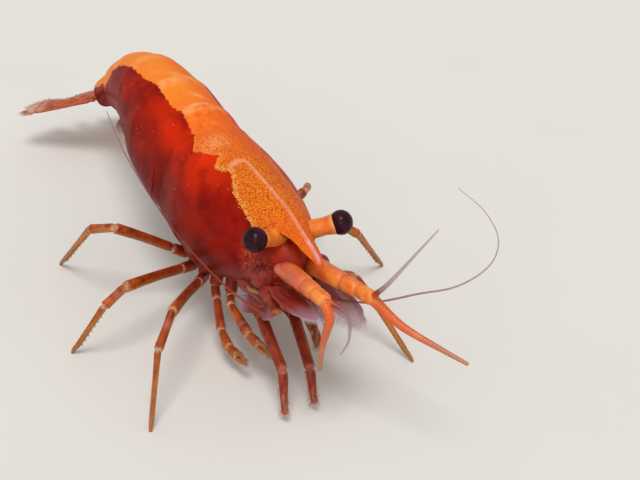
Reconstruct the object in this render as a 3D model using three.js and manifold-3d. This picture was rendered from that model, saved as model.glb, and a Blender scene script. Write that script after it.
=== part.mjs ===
// Dwarf aquarium shrimp, Neocaridina davidi, a still life-size model standing on its walking legs.
// Millimetres, +Z up. The head points along -Y and the animal's own right side is -X.
// Shapes are worked out with the floor at z = 0 and the front edge of the carapace at y = 0.
import * as THREE from 'three';
import { mergeVertices } from 'three/addons/utils/BufferGeometryUtils.js';
import Module from 'manifold-3d';

// ---------- driving dimensions ----------

const GAP = 0.06; // daylight between neighbouring solids
const BACK_HEIGHT = 7.32; // top of the carapace at its front edge, above the floor

const CARAPACE = { length: 7.0, halfWidth: 2.32, depth: 4.97, frontWidth: 0.58, frontDepth: 0.72 };
const ABDOMEN = { halfWidth: 2.01, depth: 4.69, taper: 0.48 };
const SEGMENT_LENGTHS = [1.6, 2.6, 3.0, 2.3, 2.0]; // the five segments with pleura
const TAIL_SEGMENT = { length: 3.2, halfWidth: 0.68, depth: 1.5 }; // the sixth, without pleura

// The middle line of the back: nearly level to the hump, then down to the tail fan.
const BACK_LINE = [
  [0, 0, BACK_HEIGHT],
  [0, 3.5, 7.57],
  [0, 7.0, 7.74],
  [0, 11.2, 8.08],
  [0, 14.15, 7.92],
  [0, 16.3, 7.11],
  [0, 17.96, 6.0],
  [0, 19.3, 4.92],
  [0, 20.5, 4.05],
  [-0.05, 21.7, 3.3],
];

const EYE = { radius: 0.484, place: [1.793, -0.891, 6.96], root: [0.72, -0.4, 6.58], stalk: 0.3 };
// A saw-edged blade on a thin roof that narrows forwards from between the eyes.
const ROSTRUM = { length: 2.84, height: 0.62, thickness: 0.5, pitch: 0.232, teeth: 7, tooth: 0.09 };
const ROSTRUM_ROOF = { halfWidth: 0.6, length: 1.9, thickness: 0.5, drop: 0.06 };
const LEAST_RADIUS = 0.25; // half of the least thickness of legs and feelers

// Joints of each leg: the foot of the coxa, the knee, the wrist and the tip.
// Legs 3 to 5 stand on the floor, and legs 1 and 2, with the small claws, are held off it.
const LEGS = {
  leg_1_right: { hip: [-0.8, 3.0], coxa: [-1.0, 2.75, 2.25], knee: [-1.45, 1.7, 2.4],
    wrist: [-1.36, 0.15, 1.95], tip: [-1.0, -0.95, 1.65] },
  leg_1_left: { hip: [0.8, 3.0], coxa: [1.0, 2.75, 2.25], knee: [1.5, 1.6, 2.35],
    wrist: [1.4, 0.1, 1.9], tip: [1.05, -1.0, 1.6] },
  leg_2_right: { hip: [-1.0, 3.85], coxa: [-1.3, 3.65, 2.15], knee: [-1.75, 1.9, 1.15],
    wrist: [-1.8, 0.95, 0.9], tip: [-1.6, -0.1, 0.9] },
  leg_2_left: { hip: [1.0, 3.85], coxa: [1.3, 3.65, 2.15], knee: [1.95, 2.0, 1.2],
    wrist: [2.0, 1.0, 0.85], tip: [1.8, 0.0, 0.75] },
  leg_3_right: { hip: [-1.15, 4.75], coxa: [-1.4, 4.55, 2.15], knee: [-4.45, 0.58, 3.5],
    wrist: [-5.45, -0.52, 2.7], tip: [-6.2, -1.7, 0] },
  leg_3_left: { hip: [1.15, 4.75], coxa: [1.4, 4.55, 2.15], knee: [3.75, 1.0, 2.95],
    wrist: [4.35, 0.3, 2.05], tip: [5.3, -1.5, 0] },
  leg_4_right: { hip: [-1.15, 5.65], coxa: [-1.45, 5.55, 2.15], knee: [-5.29, 3.44, 3.15],
    wrist: [-6.18, 3.36, 2.5], tip: [-7.22, 4.25, 0] },
  leg_4_left: { hip: [1.15, 5.65], coxa: [1.45, 5.55, 2.15], knee: [4.92, 4.55, 3.3],
    wrist: [5.8, 4.5, 2.65], tip: [7.8, 5.55, 0] },
  leg_5_right: { hip: [-1.1, 6.5], coxa: [-1.4, 6.5, 2.2], knee: [-4.45, 6.95, 3.8],
    wrist: [-5.1, 8.0, 3.3], tip: [-5.5, 10.9, 0] },
  leg_5_left: { hip: [1.1, 6.5], coxa: [1.4, 6.5, 2.2], knee: [4.46, 7.1, 3.76],
    wrist: [5.1, 8.1, 3.3], tip: [5.6, 11.0, 0] },
};

const MAXILLIPEDS = {
  maxilliped_right: [[-0.5, 1.75, 2.78], [-0.62, 1.35, 2.5], [-0.88, 0.12, 2.72], [-1.12, -2.37, 1.89],
    [-1.3, -3.13, 0.4]],
  maxilliped_left: [[0.5, 1.75, 2.78], [0.6, 1.35, 2.5], [0.58, 0.3, 2.55], [0.2, -2.13, 1.47],
    [0.05, -2.95, 0.4]],
};

// Feelers: the end of each antennule, the lines of the flagella that leave it, and the ends of
// the antennal scale under it.
const ANTENNULES = {
  right: {
    scale: [[-0.95, -1.02, 4.8], [-0.78, -4.15, 5.15]],
    end: [-0.52, -4.1, 5.95],
    outer: [[-0.81, -4.19, 5.89], [-0.55, -4.58, 5.35], [-0.51, -4.4, 4.7], [-0.5, -4.2, 3.9],
      [-0.46, -4.1, 2.8]],
    inner: [[-0.23, -4.19, 5.89], [0.1, -4.75, 5.6], [0.2, -4.9, 4.6], [0.12, -4.5, 3.6]],
  },
  left: {
    scale: [[1.02, -1.02, 4.8], [0.98, -4.25, 4.6]],
    end: [1.3, -4.42, 5.78],
    outer: [[1.58, -4.5, 5.72], [1.95, -5.5, 5.1], [2.9, -7.0, 4.7], [3.5, -7.8, 4.45]],
    inner: [[1.06, -4.55, 5.85], [1.4, -5.3, 6.9], [2.05, -5.5, 7.8], [2.8, -6.0, 9.2]],
  },
};
const ANTENNAE = {
  right: [[-1.26, -1.98, 4.18], [-1.8, -2.25, 4.2], [-2.3, -1.3, 4.3], [-2.45, 0.4, 4.4], [-2.8, 3.6, 4.55],
    [-2.8, 7.5, 4.8], [-2.55, 11.0, 5.1], [-2.25, 13.9, 5.6]],
  left: [[1.24, -1.78, 4.18], [2.0, -3.3, 4.75], [3.4, -4.3, 5.4], [5.0, -4.26, 5.3], [7.2, -3.2, 5.1],
    [9.0, -1.2, 4.8], [10.2, 1.6, 4.4], [10.8, 4.6, 3.9]],
};

const TAIL_FAN = { axis: [-0.14, 0.886, -0.443], flat: [0, 0.447, 0.894], thickness: 0.5 };
// The side blades: how far out, how far down, how widely spread and how far turned down outwards.
const UROPODS = {
  inner: {
    offset: 0.7,
    fall: 0.08,
    splay: 0.3,
    roll: 0.2,
    length: 3.7,
    halfWidths: [0.2, 0.36, 0.47, 0.46, 0.32],
  },
  outer: {
    offset: 1.12,
    fall: 0.3,
    splay: 0.58,
    roll: 0.44,
    length: 3.6,
    halfWidths: [0.18, 0.24, 0.42, 0.56, 0.42],
  },
};
const TELSON = {
  offset: 0,
  fall: 0,
  splay: 0,
  roll: 0,
  length: 3.4,
  halfWidths: [0.42, 0.44, 0.4, 0.34, 0.27],
};
const PLEOPOD = { length: 2.0, halfWidth: 0.45, thickness: 0.5, rake: 1.5, spread: 0.62 };

const RED_SHELL = { color: 0x8f1e14, roughness: 0.35, metalness: 0 };
const ORANGE_BACK = { color: 0xc8501c, roughness: 0.35, metalness: 0 };
const LIMB = { color: 0xb4501e, roughness: 0.45, metalness: 0 };
const FEELER = { color: 0xe08236, roughness: 0.5, metalness: 0 };
const FIN = { color: 0xc87846, roughness: 0.45, metalness: 0 };
const EYE_BLACK = { color: 0x241824, roughness: 0.12, metalness: 0 };

// ---------- helpers ----------

const vec = (p) => new THREE.Vector3(...p);
const mirrored = (p) => [-p[0], p[1], p[2]];
const smooth = (points) => new THREE.CatmullRomCurve3(points.map(vec), false, 'centripetal');

// A size read from a short list of evenly spaced stops, at t from 0 to 1.
function atStop(stops, t) {
  const x = Math.min(Math.max(t, 0), 1) * (stops.length - 1);
  const i = Math.min(Math.floor(x), stops.length - 2);
  return THREE.MathUtils.lerp(stops[i], stops[i + 1], x - i);
}

// A closed solid through a row of rings with equally many points, its two ends filled.
function loft(rings) {
  const sides = rings[0].length;
  const points = rings.flat();
  const faces = [];
  for (let start = 0; start < (rings.length - 1) * sides; start += sides) {
    for (let k = 0; k < sides; k++) {
      const a = start + k;
      const b = start + ((k + 1) % sides);
      faces.push(a, b, b + sides, a, b + sides, a + sides);
    }
  }
  for (const [ring, start] of [[rings[0], 0], [rings.at(-1), (rings.length - 1) * sides]]) {
    const middle = points.length;
    points.push(ring.reduce((sum, p) => sum.add(p), new THREE.Vector3()).divideScalar(sides));
    for (let k = 0; k < sides; k++) {
      const a = start + k;
      const b = start + ((k + 1) % sides);
      faces.push(middle, ...(start === 0 ? [b, a] : [a, b]));
    }
  }
  let volume = 0;
  for (let i = 0; i < faces.length; i += 3) {
    const [a, b, c] = [points[faces[i]], points[faces[i + 1]], points[faces[i + 2]]];
    volume += a.dot(b.clone().cross(c));
  }
  const positions = points.flatMap((p) => p.toArray());
  const geometry = new THREE.BufferGeometry();
  geometry.setAttribute('position', new THREE.Float32BufferAttribute(positions, 3));
  geometry.setIndex(volume < 0 ? faces.reverse() : faces);
  geometry.computeVertexNormals();
  return geometry;
}

// An oval bar along a line of points with mitred corners. wide and thick are its half-sizes at
// each point, and facing is the direction that wide is square to. endNormal turns the last cut,
// so that a foot is cut level with the floor.
function bar(points, wide, thick, { facing, sides = 8, endNormal } = {}) {
  const line = points.map((p) => (p.isVector3 ? p : vec(p)));
  const steps = line.slice(1).map((p, i) => p.clone().sub(line[i]).normalize());
  const bend = line[0].clone().sub(line.at(-1)).cross(line[line.length >> 1].clone().sub(line[0]));
  const square = bend.lengthSq() > 1e-6 ? bend.normalize() : new THREE.Vector3(0, 0, 1);
  const across = facing ? vec(facing) : square;
  const rings = line.map((centre, i) => {
    const along = steps[Math.max(i - 1, 0)];
    const cut = along.clone().add(steps[Math.min(i, steps.length - 1)]).normalize();
    if (endNormal && i === line.length - 1) cut.copy(vec(endNormal));
    const side = across.clone().cross(along).normalize();
    const up = along.clone().cross(side);
    return Array.from({ length: sides }, (_, k) => {
      const angle = (2 * Math.PI * (k + 0.5)) / sides;
      const out = side.clone().multiplyScalar(wide[i] * Math.cos(angle));
      out.addScaledVector(up, thick[i] * Math.sin(angle));
      out.addScaledVector(along, -out.dot(cut) / along.dot(cut));
      return centre.clone().add(out);
    });
  });
  return loft(rings);
}

// A round rod along a smooth curve through the points, its radius read from stops.
function feeler(points, radii, rings) {
  const curve = smooth(points);
  const stations = Array.from({ length: rings }, (_, i) => i / (rings - 1));
  const sizes = stations.map((t) => atStop(radii, t));
  return bar(stations.map((t) => curve.getPointAt(t)), sizes, sizes);
}

// A thin blade between two points, its half-widths given at even steps from start to end.
function blade(start, end, halfWidths, thickness, facing, endNormal) {
  const stations = halfWidths.map((_, i) => i / (halfWidths.length - 1));
  const line = stations.map((t) => start.clone().lerp(end, t));
  return bar(line, halfWidths, stations.map(() => thickness / 2), { facing, sides: 12, endNormal });
}

const shrimp = new THREE.Group();

function add(name, geometry, finish) {
  const mesh = new THREE.Mesh(geometry, new THREE.MeshStandardMaterial(finish));
  mesh.name = name;
  shrimp.add(mesh);
  return mesh;
}

// ---------- carapace and abdomen ----------

const backLine = smooth(BACK_LINE);
const backLength = backLine.getLength();

// Where the back is at a distance behind the carapace's front edge, with its directions there.
function backAt(distance) {
  const u = distance / backLength;
  const top = backLine.getPointAt(u);
  const rearward = backLine.getTangentAt(u);
  const left = rearward.clone().cross(new THREE.Vector3(0, 0, 1)).normalize();
  return { top, rearward, left, up: left.clone().cross(rearward) };
}

// One cross-section of the trunk: round above, with straight sides below like the hanging plates.
function trunkRing(distance, halfWidth, depth, sides = 24) {
  const { top, left, up } = backAt(distance);
  return Array.from({ length: sides }, (_, k) => {
    const angle = (2 * Math.PI * k) / sides;
    const sine = Math.sin(angle);
    const reach = Math.cos(angle) >= 0 ? sine : Math.sign(sine) * Math.abs(sine) ** 0.6;
    const drop = (depth / 2) * (Math.cos(angle) - 1);
    return top.clone().addScaledVector(left, halfWidth * reach).addScaledVector(up, drop);
  });
}

function carapaceSize(distance) {
  const t = distance / CARAPACE.length;
  const swell = Math.sin(Math.min(1, t * 1.55) * Math.PI / 2);
  const rearLift = 0.06 * Math.max(0, (t - 0.75) / 0.25) ** 2;
  return {
    halfWidth: CARAPACE.halfWidth * THREE.MathUtils.lerp(CARAPACE.frontWidth, 1, swell),
    depth: CARAPACE.depth * (THREE.MathUtils.lerp(CARAPACE.frontDepth, 1, swell) - rearLift),
  };
}

const pleuraLength = SEGMENT_LENGTHS.reduce((sum, length) => sum + length);

function abdomenSize(distance) {
  const t = (distance - CARAPACE.length) / pleuraLength;
  return {
    halfWidth: ABDOMEN.halfWidth * (1 - ABDOMEN.taper * Math.max(0, (t - 0.35) / 0.65) ** 1.3),
    depth: ABDOMEN.depth * (1 - ABDOMEN.taper * Math.max(0, (t - 0.45) / 0.55) ** 1.2),
  };
}

const CARAPACE_RINGS = 15;
const carapaceRings = Array.from({ length: CARAPACE_RINGS }, (_, i) => {
  const distance = ((CARAPACE.length - GAP) * i) / (CARAPACE_RINGS - 1);
  const { halfWidth, depth } = carapaceSize(distance);
  return trunkRing(distance, halfWidth, depth);
});
add('carapace', loft(carapaceRings), ORANGE_BACK);

// Each pleuron is a rounded lobe, deepest at the middle of its segment.
const PLEURON_RINGS = 6;
const PLEURON_LOBE = 0.08;
let segmentStart = CARAPACE.length;
const bellies = [];
SEGMENT_LENGTHS.forEach((length, index) => {
  const rings = Array.from({ length: PLEURON_RINGS }, (_, i) => {
    const t = i / (PLEURON_RINGS - 1);
    const distance = segmentStart + GAP / 2 + (length - GAP) * t;
    const { halfWidth, depth } = abdomenSize(distance);
    const lobe = 1 - PLEURON_LOBE * (2 * t - 1) ** 2;
    return trunkRing(distance, halfWidth * (0.985 + 0.03 * t * (1 - t)), depth * lobe);
  });
  add(`abdomen_${index + 1}`, loft(rings), RED_SHELL);
  const middle = segmentStart + length / 2;
  bellies.push({ ...backAt(middle), ...abdomenSize(middle) });
  segmentStart += length;
});

// The sixth segment is long and nearly round, and carries the tail fan.
const TAIL_RINGS = [[0, 1.08, 1.12], [0.2, 1.04, 1.06], [0.5, 1, 1], [0.85, 0.96, 0.94], [1, 0.86, 0.84]];
const tailRings = TAIL_RINGS.map(([t, width, depth]) => trunkRing(
  segmentStart + GAP / 2 + (TAIL_SEGMENT.length - GAP) * t,
  TAIL_SEGMENT.halfWidth * width,
  TAIL_SEGMENT.depth * depth,
  20,
));
add('abdomen_6', loft(tailRings), RED_SHELL);

// ---------- tail fan ----------

const fanAxis = vec(TAIL_FAN.axis).normalize();
const fanFlat = vec(TAIL_FAN.flat).normalize();
const fanLeft = fanAxis.clone().cross(fanFlat).normalize();
const lastRing = tailRings.at(-1);
const fanBase = lastRing.reduce((sum, p) => sum.add(p), new THREE.Vector3()).divideScalar(lastRing.length);
fanBase.addScaledVector(fanAxis, 3 * GAP);

function fanBlade(name, { offset, fall, splay, roll, length, halfWidths }, sign = 1) {
  const root = fanBase.clone().addScaledVector(fanLeft, sign * offset).addScaledVector(fanFlat, -fall);
  const along = fanAxis.clone().multiplyScalar(Math.cos(splay));
  along.addScaledVector(fanLeft, sign * Math.sin(splay));
  const tip = root.clone().addScaledVector(along, length);
  const facing = fanFlat.clone().applyAxisAngle(along, sign * roll).toArray();
  add(name, blade(root, tip, halfWidths, TAIL_FAN.thickness, facing), FIN);
}

fanBlade('telson', TELSON);
for (const [side, sign] of [['right', -1], ['left', 1]]) {
  for (const [place, shape] of Object.entries(UROPODS)) {
    fanBlade(`uropod_${place}_${side}`, shape, sign);
  }
}

// ---------- rostrum, head and mouthparts ----------

const wasm = await Module();
wasm.setup();

// The joined shape of closed geometries.
function union(...geometries) {
  const solids = geometries.map((geometry) => {
    const bare = geometry.clone();
    bare.deleteAttribute('normal');
    bare.deleteAttribute('uv');
    const merged = mergeVertices(bare, 1e-5);
    const vertProperties = merged.attributes.position.array;
    return new wasm.Manifold(new wasm.Mesh({ numProp: 3, vertProperties, triVerts: merged.index.array }));
  });
  const joined = solids.reduce((whole, solid) => whole.add(solid)).getMesh();
  const geometry = new THREE.BufferGeometry();
  geometry.setAttribute('position', new THREE.BufferAttribute(joined.vertProperties, 3));
  geometry.setIndex(new THREE.BufferAttribute(joined.triVerts, 1));
  geometry.computeVertexNormals();
  return geometry;
}

// The blade seen from the side, x forwards and y up, with its teeth along the top edge.
const bladeOutline = new THREE.Shape();
bladeOutline.moveTo(0, -ROSTRUM.height);
bladeOutline.lineTo(0, 0);
const toothPitch = (ROSTRUM.length * 0.78) / ROSTRUM.teeth;
for (let i = 0; i < ROSTRUM.teeth; i++) {
  bladeOutline.lineTo(toothPitch * (i + 0.85), ROSTRUM.tooth);
  bladeOutline.lineTo(toothPitch * (i + 1), 0);
}
bladeOutline.lineTo(ROSTRUM.length, -0.06);
bladeOutline.lineTo(ROSTRUM.length * 0.95, -0.16);
bladeOutline.quadraticCurveTo(ROSTRUM.length * 0.6, -0.34, 0, -ROSTRUM.height);
const bladePlate = new THREE.ExtrudeGeometry(bladeOutline, {
  depth: ROSTRUM.thickness,
  bevelEnabled: false,
  curveSegments: 6,
});
bladePlate.translate(0, 0, -ROSTRUM.thickness / 2);

// The roof seen from above, x forwards and y across, laid flat under the blade's teeth.
const roofOutline = new THREE.Shape();
roofOutline.moveTo(0, -ROSTRUM_ROOF.halfWidth);
roofOutline.quadraticCurveTo(ROSTRUM_ROOF.length * 0.35, -0.3, ROSTRUM_ROOF.length, -0.1);
roofOutline.lineTo(ROSTRUM_ROOF.length, 0.1);
roofOutline.quadraticCurveTo(ROSTRUM_ROOF.length * 0.35, 0.3, 0, ROSTRUM_ROOF.halfWidth);
const roofPlate = new THREE.ExtrudeGeometry(roofOutline, {
  depth: ROSTRUM_ROOF.thickness,
  bevelEnabled: false,
  curveSegments: 8,
});
roofPlate.rotateX(Math.PI / 2);
roofPlate.translate(0, -ROSTRUM_ROOF.drop, 0);

const forward = new THREE.Vector3(0, -1, 0);
const upward = new THREE.Vector3(0, 0, 1);
const rostrumGeometry = union(bladePlate, roofPlate);
rostrumGeometry.applyMatrix4(new THREE.Matrix4().makeBasis(forward, upward, forward.clone().cross(upward)));
const rostrum = add('rostrum', rostrumGeometry, ORANGE_BACK);
rostrum.position.set(0, -GAP, BACK_HEIGHT - 0.02);
rostrum.rotation.x = ROSTRUM.pitch;

const level = { facing: [0, 0, 1], sides: 16 };
const HEAD_LINE = [[0, 0, 5.2], [0, -0.5, 5.22], [0, -0.95, 5.26], [0, -1.2, 5.3]];
add('head', bar(HEAD_LINE, [1.2, 1.08, 0.85, 0.6], [1.25, 1.2, 1.0, 0.75], level), RED_SHELL);
const MOUTH_LINE = [[0, 1.1, 2.82], [0, 0.5, 3.1], [0, -0.2, 3.45], [0, -0.75, 3.55]];
add('mouthparts', bar(MOUTH_LINE, [0.26, 0.4, 0.48, 0.34], [0.25, 0.27, 0.27, 0.25], level), RED_SHELL);

// ---------- eyes and feelers ----------

for (const [name, sign] of [['right', -1], ['left', 1]]) {
  const toSide = (p) => (sign < 0 ? mirrored(p) : p);

  const eyePlace = vec(toSide(EYE.place));
  const root = vec(toSide(EYE.root));
  const stalkEnd = eyePlace.clone().lerp(root, (EYE.radius + GAP) / eyePlace.distanceTo(root));
  const stalkWaist = root.clone().lerp(stalkEnd, 0.45);
  const stalkSizes = [EYE.stalk * 0.85, EYE.stalk * 0.95, EYE.stalk * 1.1];
  const stalk = bar([root, stalkWaist, stalkEnd], stalkSizes, stalkSizes, { facing: [0, 0, 1], sides: 12 });
  add(`eyestalk_${name}`, stalk, FEELER);
  const eye = add(`eye_${name}`, new THREE.SphereGeometry(EYE.radius, 16, 12), EYE_BLACK);
  eye.position.copy(eyePlace);

  const antennule = ANTENNULES[name];
  const antennuleRoot = vec(toSide([0.56, -1.34, 5.56]));
  const antennuleEnd = vec(antennule.end);
  const antennuleStops = [0, 0.3, 0.55, 0.6, 0.8, 0.97];
  const antennuleLine = antennuleStops.map((t) => antennuleRoot.clone().lerp(antennuleEnd, t));
  const antennuleSizes = [0.33, 0.38, 0.33, 0.35, 0.3, 0.28];
  const antennuleBar = bar(antennuleLine, antennuleSizes, antennuleSizes, { facing: [0, 0, 1] });
  add(`antennule_${name}`, antennuleBar, FEELER);
  const thin = [LEAST_RADIUS, LEAST_RADIUS];
  add(`antennule_flagellum_outer_${name}`, feeler(antennule.outer, thin, 9), FEELER);
  add(`antennule_flagellum_inner_${name}`, feeler(antennule.inner, thin, 8), FEELER);

  const antennaLine = [[0.98, -0.72, 4.22], [1.08, -1.2, 4.2], [1.18, -1.68, 4.18]].map(toSide);
  const antennaSizes = [0.27, 0.29, 0.25];
  add(`antenna_${name}`, bar(antennaLine, antennaSizes, antennaSizes, { facing: [0, 0, 1] }), LIMB);
  const [scaleRoot, scaleTip] = antennule.scale.map(vec);
  const scaleWidths = [0.26, 0.5, 0.58, 0.52, 0.3];
  add(`antennal_scale_${name}`, blade(scaleRoot, scaleTip, scaleWidths, 0.5, [0, 0, 1]), FIN);

  // The long flagellum is parted at its middle.
  const whole = smooth(ANTENNAE[name]);
  const cut = GAP / whole.getLength();
  for (const [part, from, to] of [['near', 0, 0.5], ['far', 0.5 + cut, 1]]) {
    const places = Array.from({ length: 6 }, (_, i) => from + ((to - from) * i) / 5);
    const line = places.map((u) => whole.getPointAt(u).toArray());
    add(`antenna_flagellum_${part}_${name}`, feeler(line, thin, 12), FEELER);
  }
}

// ---------- limbs under the carapace ----------

for (const [name, line] of Object.entries(MAXILLIPEDS)) {
  const sizes = line.map((_, i) => Math.max(LEAST_RADIUS, 0.29 - 0.01 * i));
  add(name, bar(line, sizes, sizes, { facing: [1, 0, 0] }), LIMB);
}

for (const [name, leg] of Object.entries(LEGS)) {
  const [hipX, hipY] = leg.hip;
  const { depth } = carapaceSize(hipY);
  const hip = [hipX, hipY, backAt(hipY).top.z - depth - 0.03];
  const between = (a, b, t) => vec(a).lerp(vec(b), t);
  const line = [
    vec(hip),
    vec(leg.coxa),
    between(leg.coxa, leg.knee, 0.3),
    between(leg.coxa, leg.knee, 0.75),
    vec(leg.knee),
    vec(leg.wrist),
    between(leg.wrist, leg.tip, 0.5),
    vec(leg.tip),
  ];
  const sizes = [0.29, 0.3, 0.27, 0.29, 0.26, 0.26, LEAST_RADIUS, LEAST_RADIUS];
  const reach = vec(leg.tip).sub(vec(leg.coxa));
  const facing = reach.cross(upward).normalize().toArray();
  const standing = leg.tip[2] === 0;
  add(name, bar(line, sizes, sizes, { facing, endNormal: standing ? [0, 0, -1] : undefined }), LIMB);
}

// ---------- swimmerets: a pair of raked paddles under each of the first five segments ----------

// Each paddle runs from its tip up to a root face that lies along the belly.
bellies.forEach(({ top, left, up, rearward, depth, halfWidth }, index) => {
  for (const [name, sign] of [['right', -1], ['left', 1]]) {
    const shrink = 1 - 0.08 * index;
    const root = top.clone().addScaledVector(up, -depth - GAP / 2);
    root.addScaledVector(left, sign * Math.min(PLEOPOD.spread, halfWidth * 0.5));
    const along = up.clone().multiplyScalar(-1).addScaledVector(rearward, PLEOPOD.rake).normalize();
    const tip = root.clone().addScaledVector(along, PLEOPOD.length * shrink);
    const facing = along.clone().cross(left).toArray();
    const widths = [0.7, 1, 0.9, 0.5].map((part) => PLEOPOD.halfWidth * shrink * part);
    const paddle = blade(tip, root, widths, PLEOPOD.thickness, facing, up.toArray());
    add(`pleopod_${index + 1}_${name}`, paddle, FIN);
  }
});

// The origin is the middle of the footprint, on the floor.
const box = new THREE.Box3().setFromObject(shrimp, true);
shrimp.position.set(-(box.min.x + box.max.x) / 2, -(box.min.y + box.max.y) / 2, -box.min.z);

export default shrimp;
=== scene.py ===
# %% [markdown]
# # A dwarf aquarium shrimp at life size
# The packed model holds the animal's plain solids. This lesson dresses them: every plate,
# limb and feeler is built again as a fine mesh over its solid, and gets a finish of its own.
# The shapes are worked out in millimetres, with the front edge of the carapace at y = 0
# and the animal's own right at -X, and are moved into the packed model's frame at the end.

import math

import bpy
import numpy as np
from mathutils import Matrix, Vector


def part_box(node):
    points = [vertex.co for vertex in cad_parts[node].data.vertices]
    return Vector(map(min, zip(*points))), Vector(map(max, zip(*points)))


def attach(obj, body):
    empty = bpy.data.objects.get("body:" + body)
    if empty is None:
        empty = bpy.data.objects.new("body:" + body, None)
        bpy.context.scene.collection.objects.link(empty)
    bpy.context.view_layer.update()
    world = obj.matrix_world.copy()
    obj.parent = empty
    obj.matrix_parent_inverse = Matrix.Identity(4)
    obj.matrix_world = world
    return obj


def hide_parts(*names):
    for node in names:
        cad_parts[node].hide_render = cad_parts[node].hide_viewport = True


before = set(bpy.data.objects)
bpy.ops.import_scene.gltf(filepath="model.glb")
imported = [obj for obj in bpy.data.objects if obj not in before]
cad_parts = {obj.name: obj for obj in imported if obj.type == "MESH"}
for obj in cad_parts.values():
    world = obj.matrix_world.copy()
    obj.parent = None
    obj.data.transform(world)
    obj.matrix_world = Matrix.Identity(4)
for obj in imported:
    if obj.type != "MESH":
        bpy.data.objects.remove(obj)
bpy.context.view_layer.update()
MM = 0.001
EYE_PLACE = np.array([1.793, -0.891, 6.96])
EYE_RADIUS = 0.484
SIDES = (("right", -1), ("left", 1))

eye_low, eye_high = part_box("eye_left")
OFFSET = (np.array(eye_low) + np.array(eye_high)) / 2 / MM - EYE_PLACE
print("nodes:", len(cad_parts), "offset in mm:", OFFSET.round(3))

# %% [markdown]
# ## Camera, floor and light
# The view is from the front right, a little above, close enough that the head fills more
# of the picture than the tail. A long lens keeps the proportions calm. The floor is a plain
# pale sheet. Lamps close by would give small hard highlights, as on a plastic toy. Two wide
# suns and an even sky light a small wet animal softly, and keep its highlights broad.

# %% Camera
AZIMUTH, ELEVATION, ROLL = (math.radians(angle) for angle in (-29.008, 30.244, 3.943))
CAMERA_PLACE = np.array([-22.547, -43.244, 34.602])
LENS = 83.44


def to_row(points):
    """Millimetres round the carapace to metres in the packed model's frame."""
    return (np.asarray(points, float) + OFFSET) * MM


def unit(vectors):
    """The same directions, of length 1."""
    vectors = np.asarray(vectors, float)
    return vectors / np.maximum(np.linalg.norm(vectors, axis=-1, keepdims=True), 1e-9)


backward = np.array([math.sin(AZIMUTH) * math.cos(ELEVATION),
                     -math.cos(AZIMUTH) * math.cos(ELEVATION), math.sin(ELEVATION)])
level_right = unit(np.cross(-backward, [0, 0, 1]))
level_up = np.cross(level_right, -backward)
right = level_right * math.cos(ROLL) + level_up * math.sin(ROLL)
up = -level_right * math.sin(ROLL) + level_up * math.cos(ROLL)

camera_data = bpy.data.cameras.new("camera")
camera_data.lens = LENS
camera_data.sensor_width = 36
camera_data.clip_start = 0.001
camera = bpy.data.objects.new("camera", camera_data)
bpy.context.scene.collection.objects.link(camera)
camera.matrix_world = Matrix.Translation(Vector(to_row(CAMERA_PLACE))) @ Matrix(
    np.column_stack([right, up, backward]).tolist()).to_4x4()
bpy.context.scene.camera = camera
print("camera at", [round(x, 4) for x in camera.location])

# %% Light
bpy.context.scene.view_settings.view_transform = "Standard"

world = bpy.data.worlds.new("even_sky")
world.use_nodes = True
sky = world.node_tree.nodes["Background"]
sky.inputs["Color"].default_value = (1.0, 0.985, 0.96, 1)
sky.inputs["Strength"].default_value = 0.5
bpy.context.scene.world = world


def lamp(name, towards, strength, angle):
    """A sun with a wide disc, shining along the direction towards."""
    data = bpy.data.lights.new(name, "SUN")
    data.energy = strength
    data.angle = math.radians(angle)
    sun = bpy.data.objects.new(name, data)
    sun.rotation_euler = Vector(towards).to_track_quat("-Z", "Y").to_euler()
    bpy.context.scene.collection.objects.link(sun)


lamp("key_sun", (0.25, 0.35, -1.0), 1.55, 24)
lamp("front_sun", (0.5, 0.8, -0.55), 0.5, 40)
print("two suns and an even sky")

# %% [markdown]
# ## Shader maths
# The markings of a shrimp could be painted on a picture and wrapped round it, but a picture
# is coarse close up. Here they are worked out by nodes. A finish is easier to read as sums
# than as a web of nodes, so one small class wraps a node's outlet, and masks can be added,
# multiplied and turned round as numbers are. Colours go through Mix nodes. Any other node
# comes from one method, which takes its type, its settings and what goes into its sockets.

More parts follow.
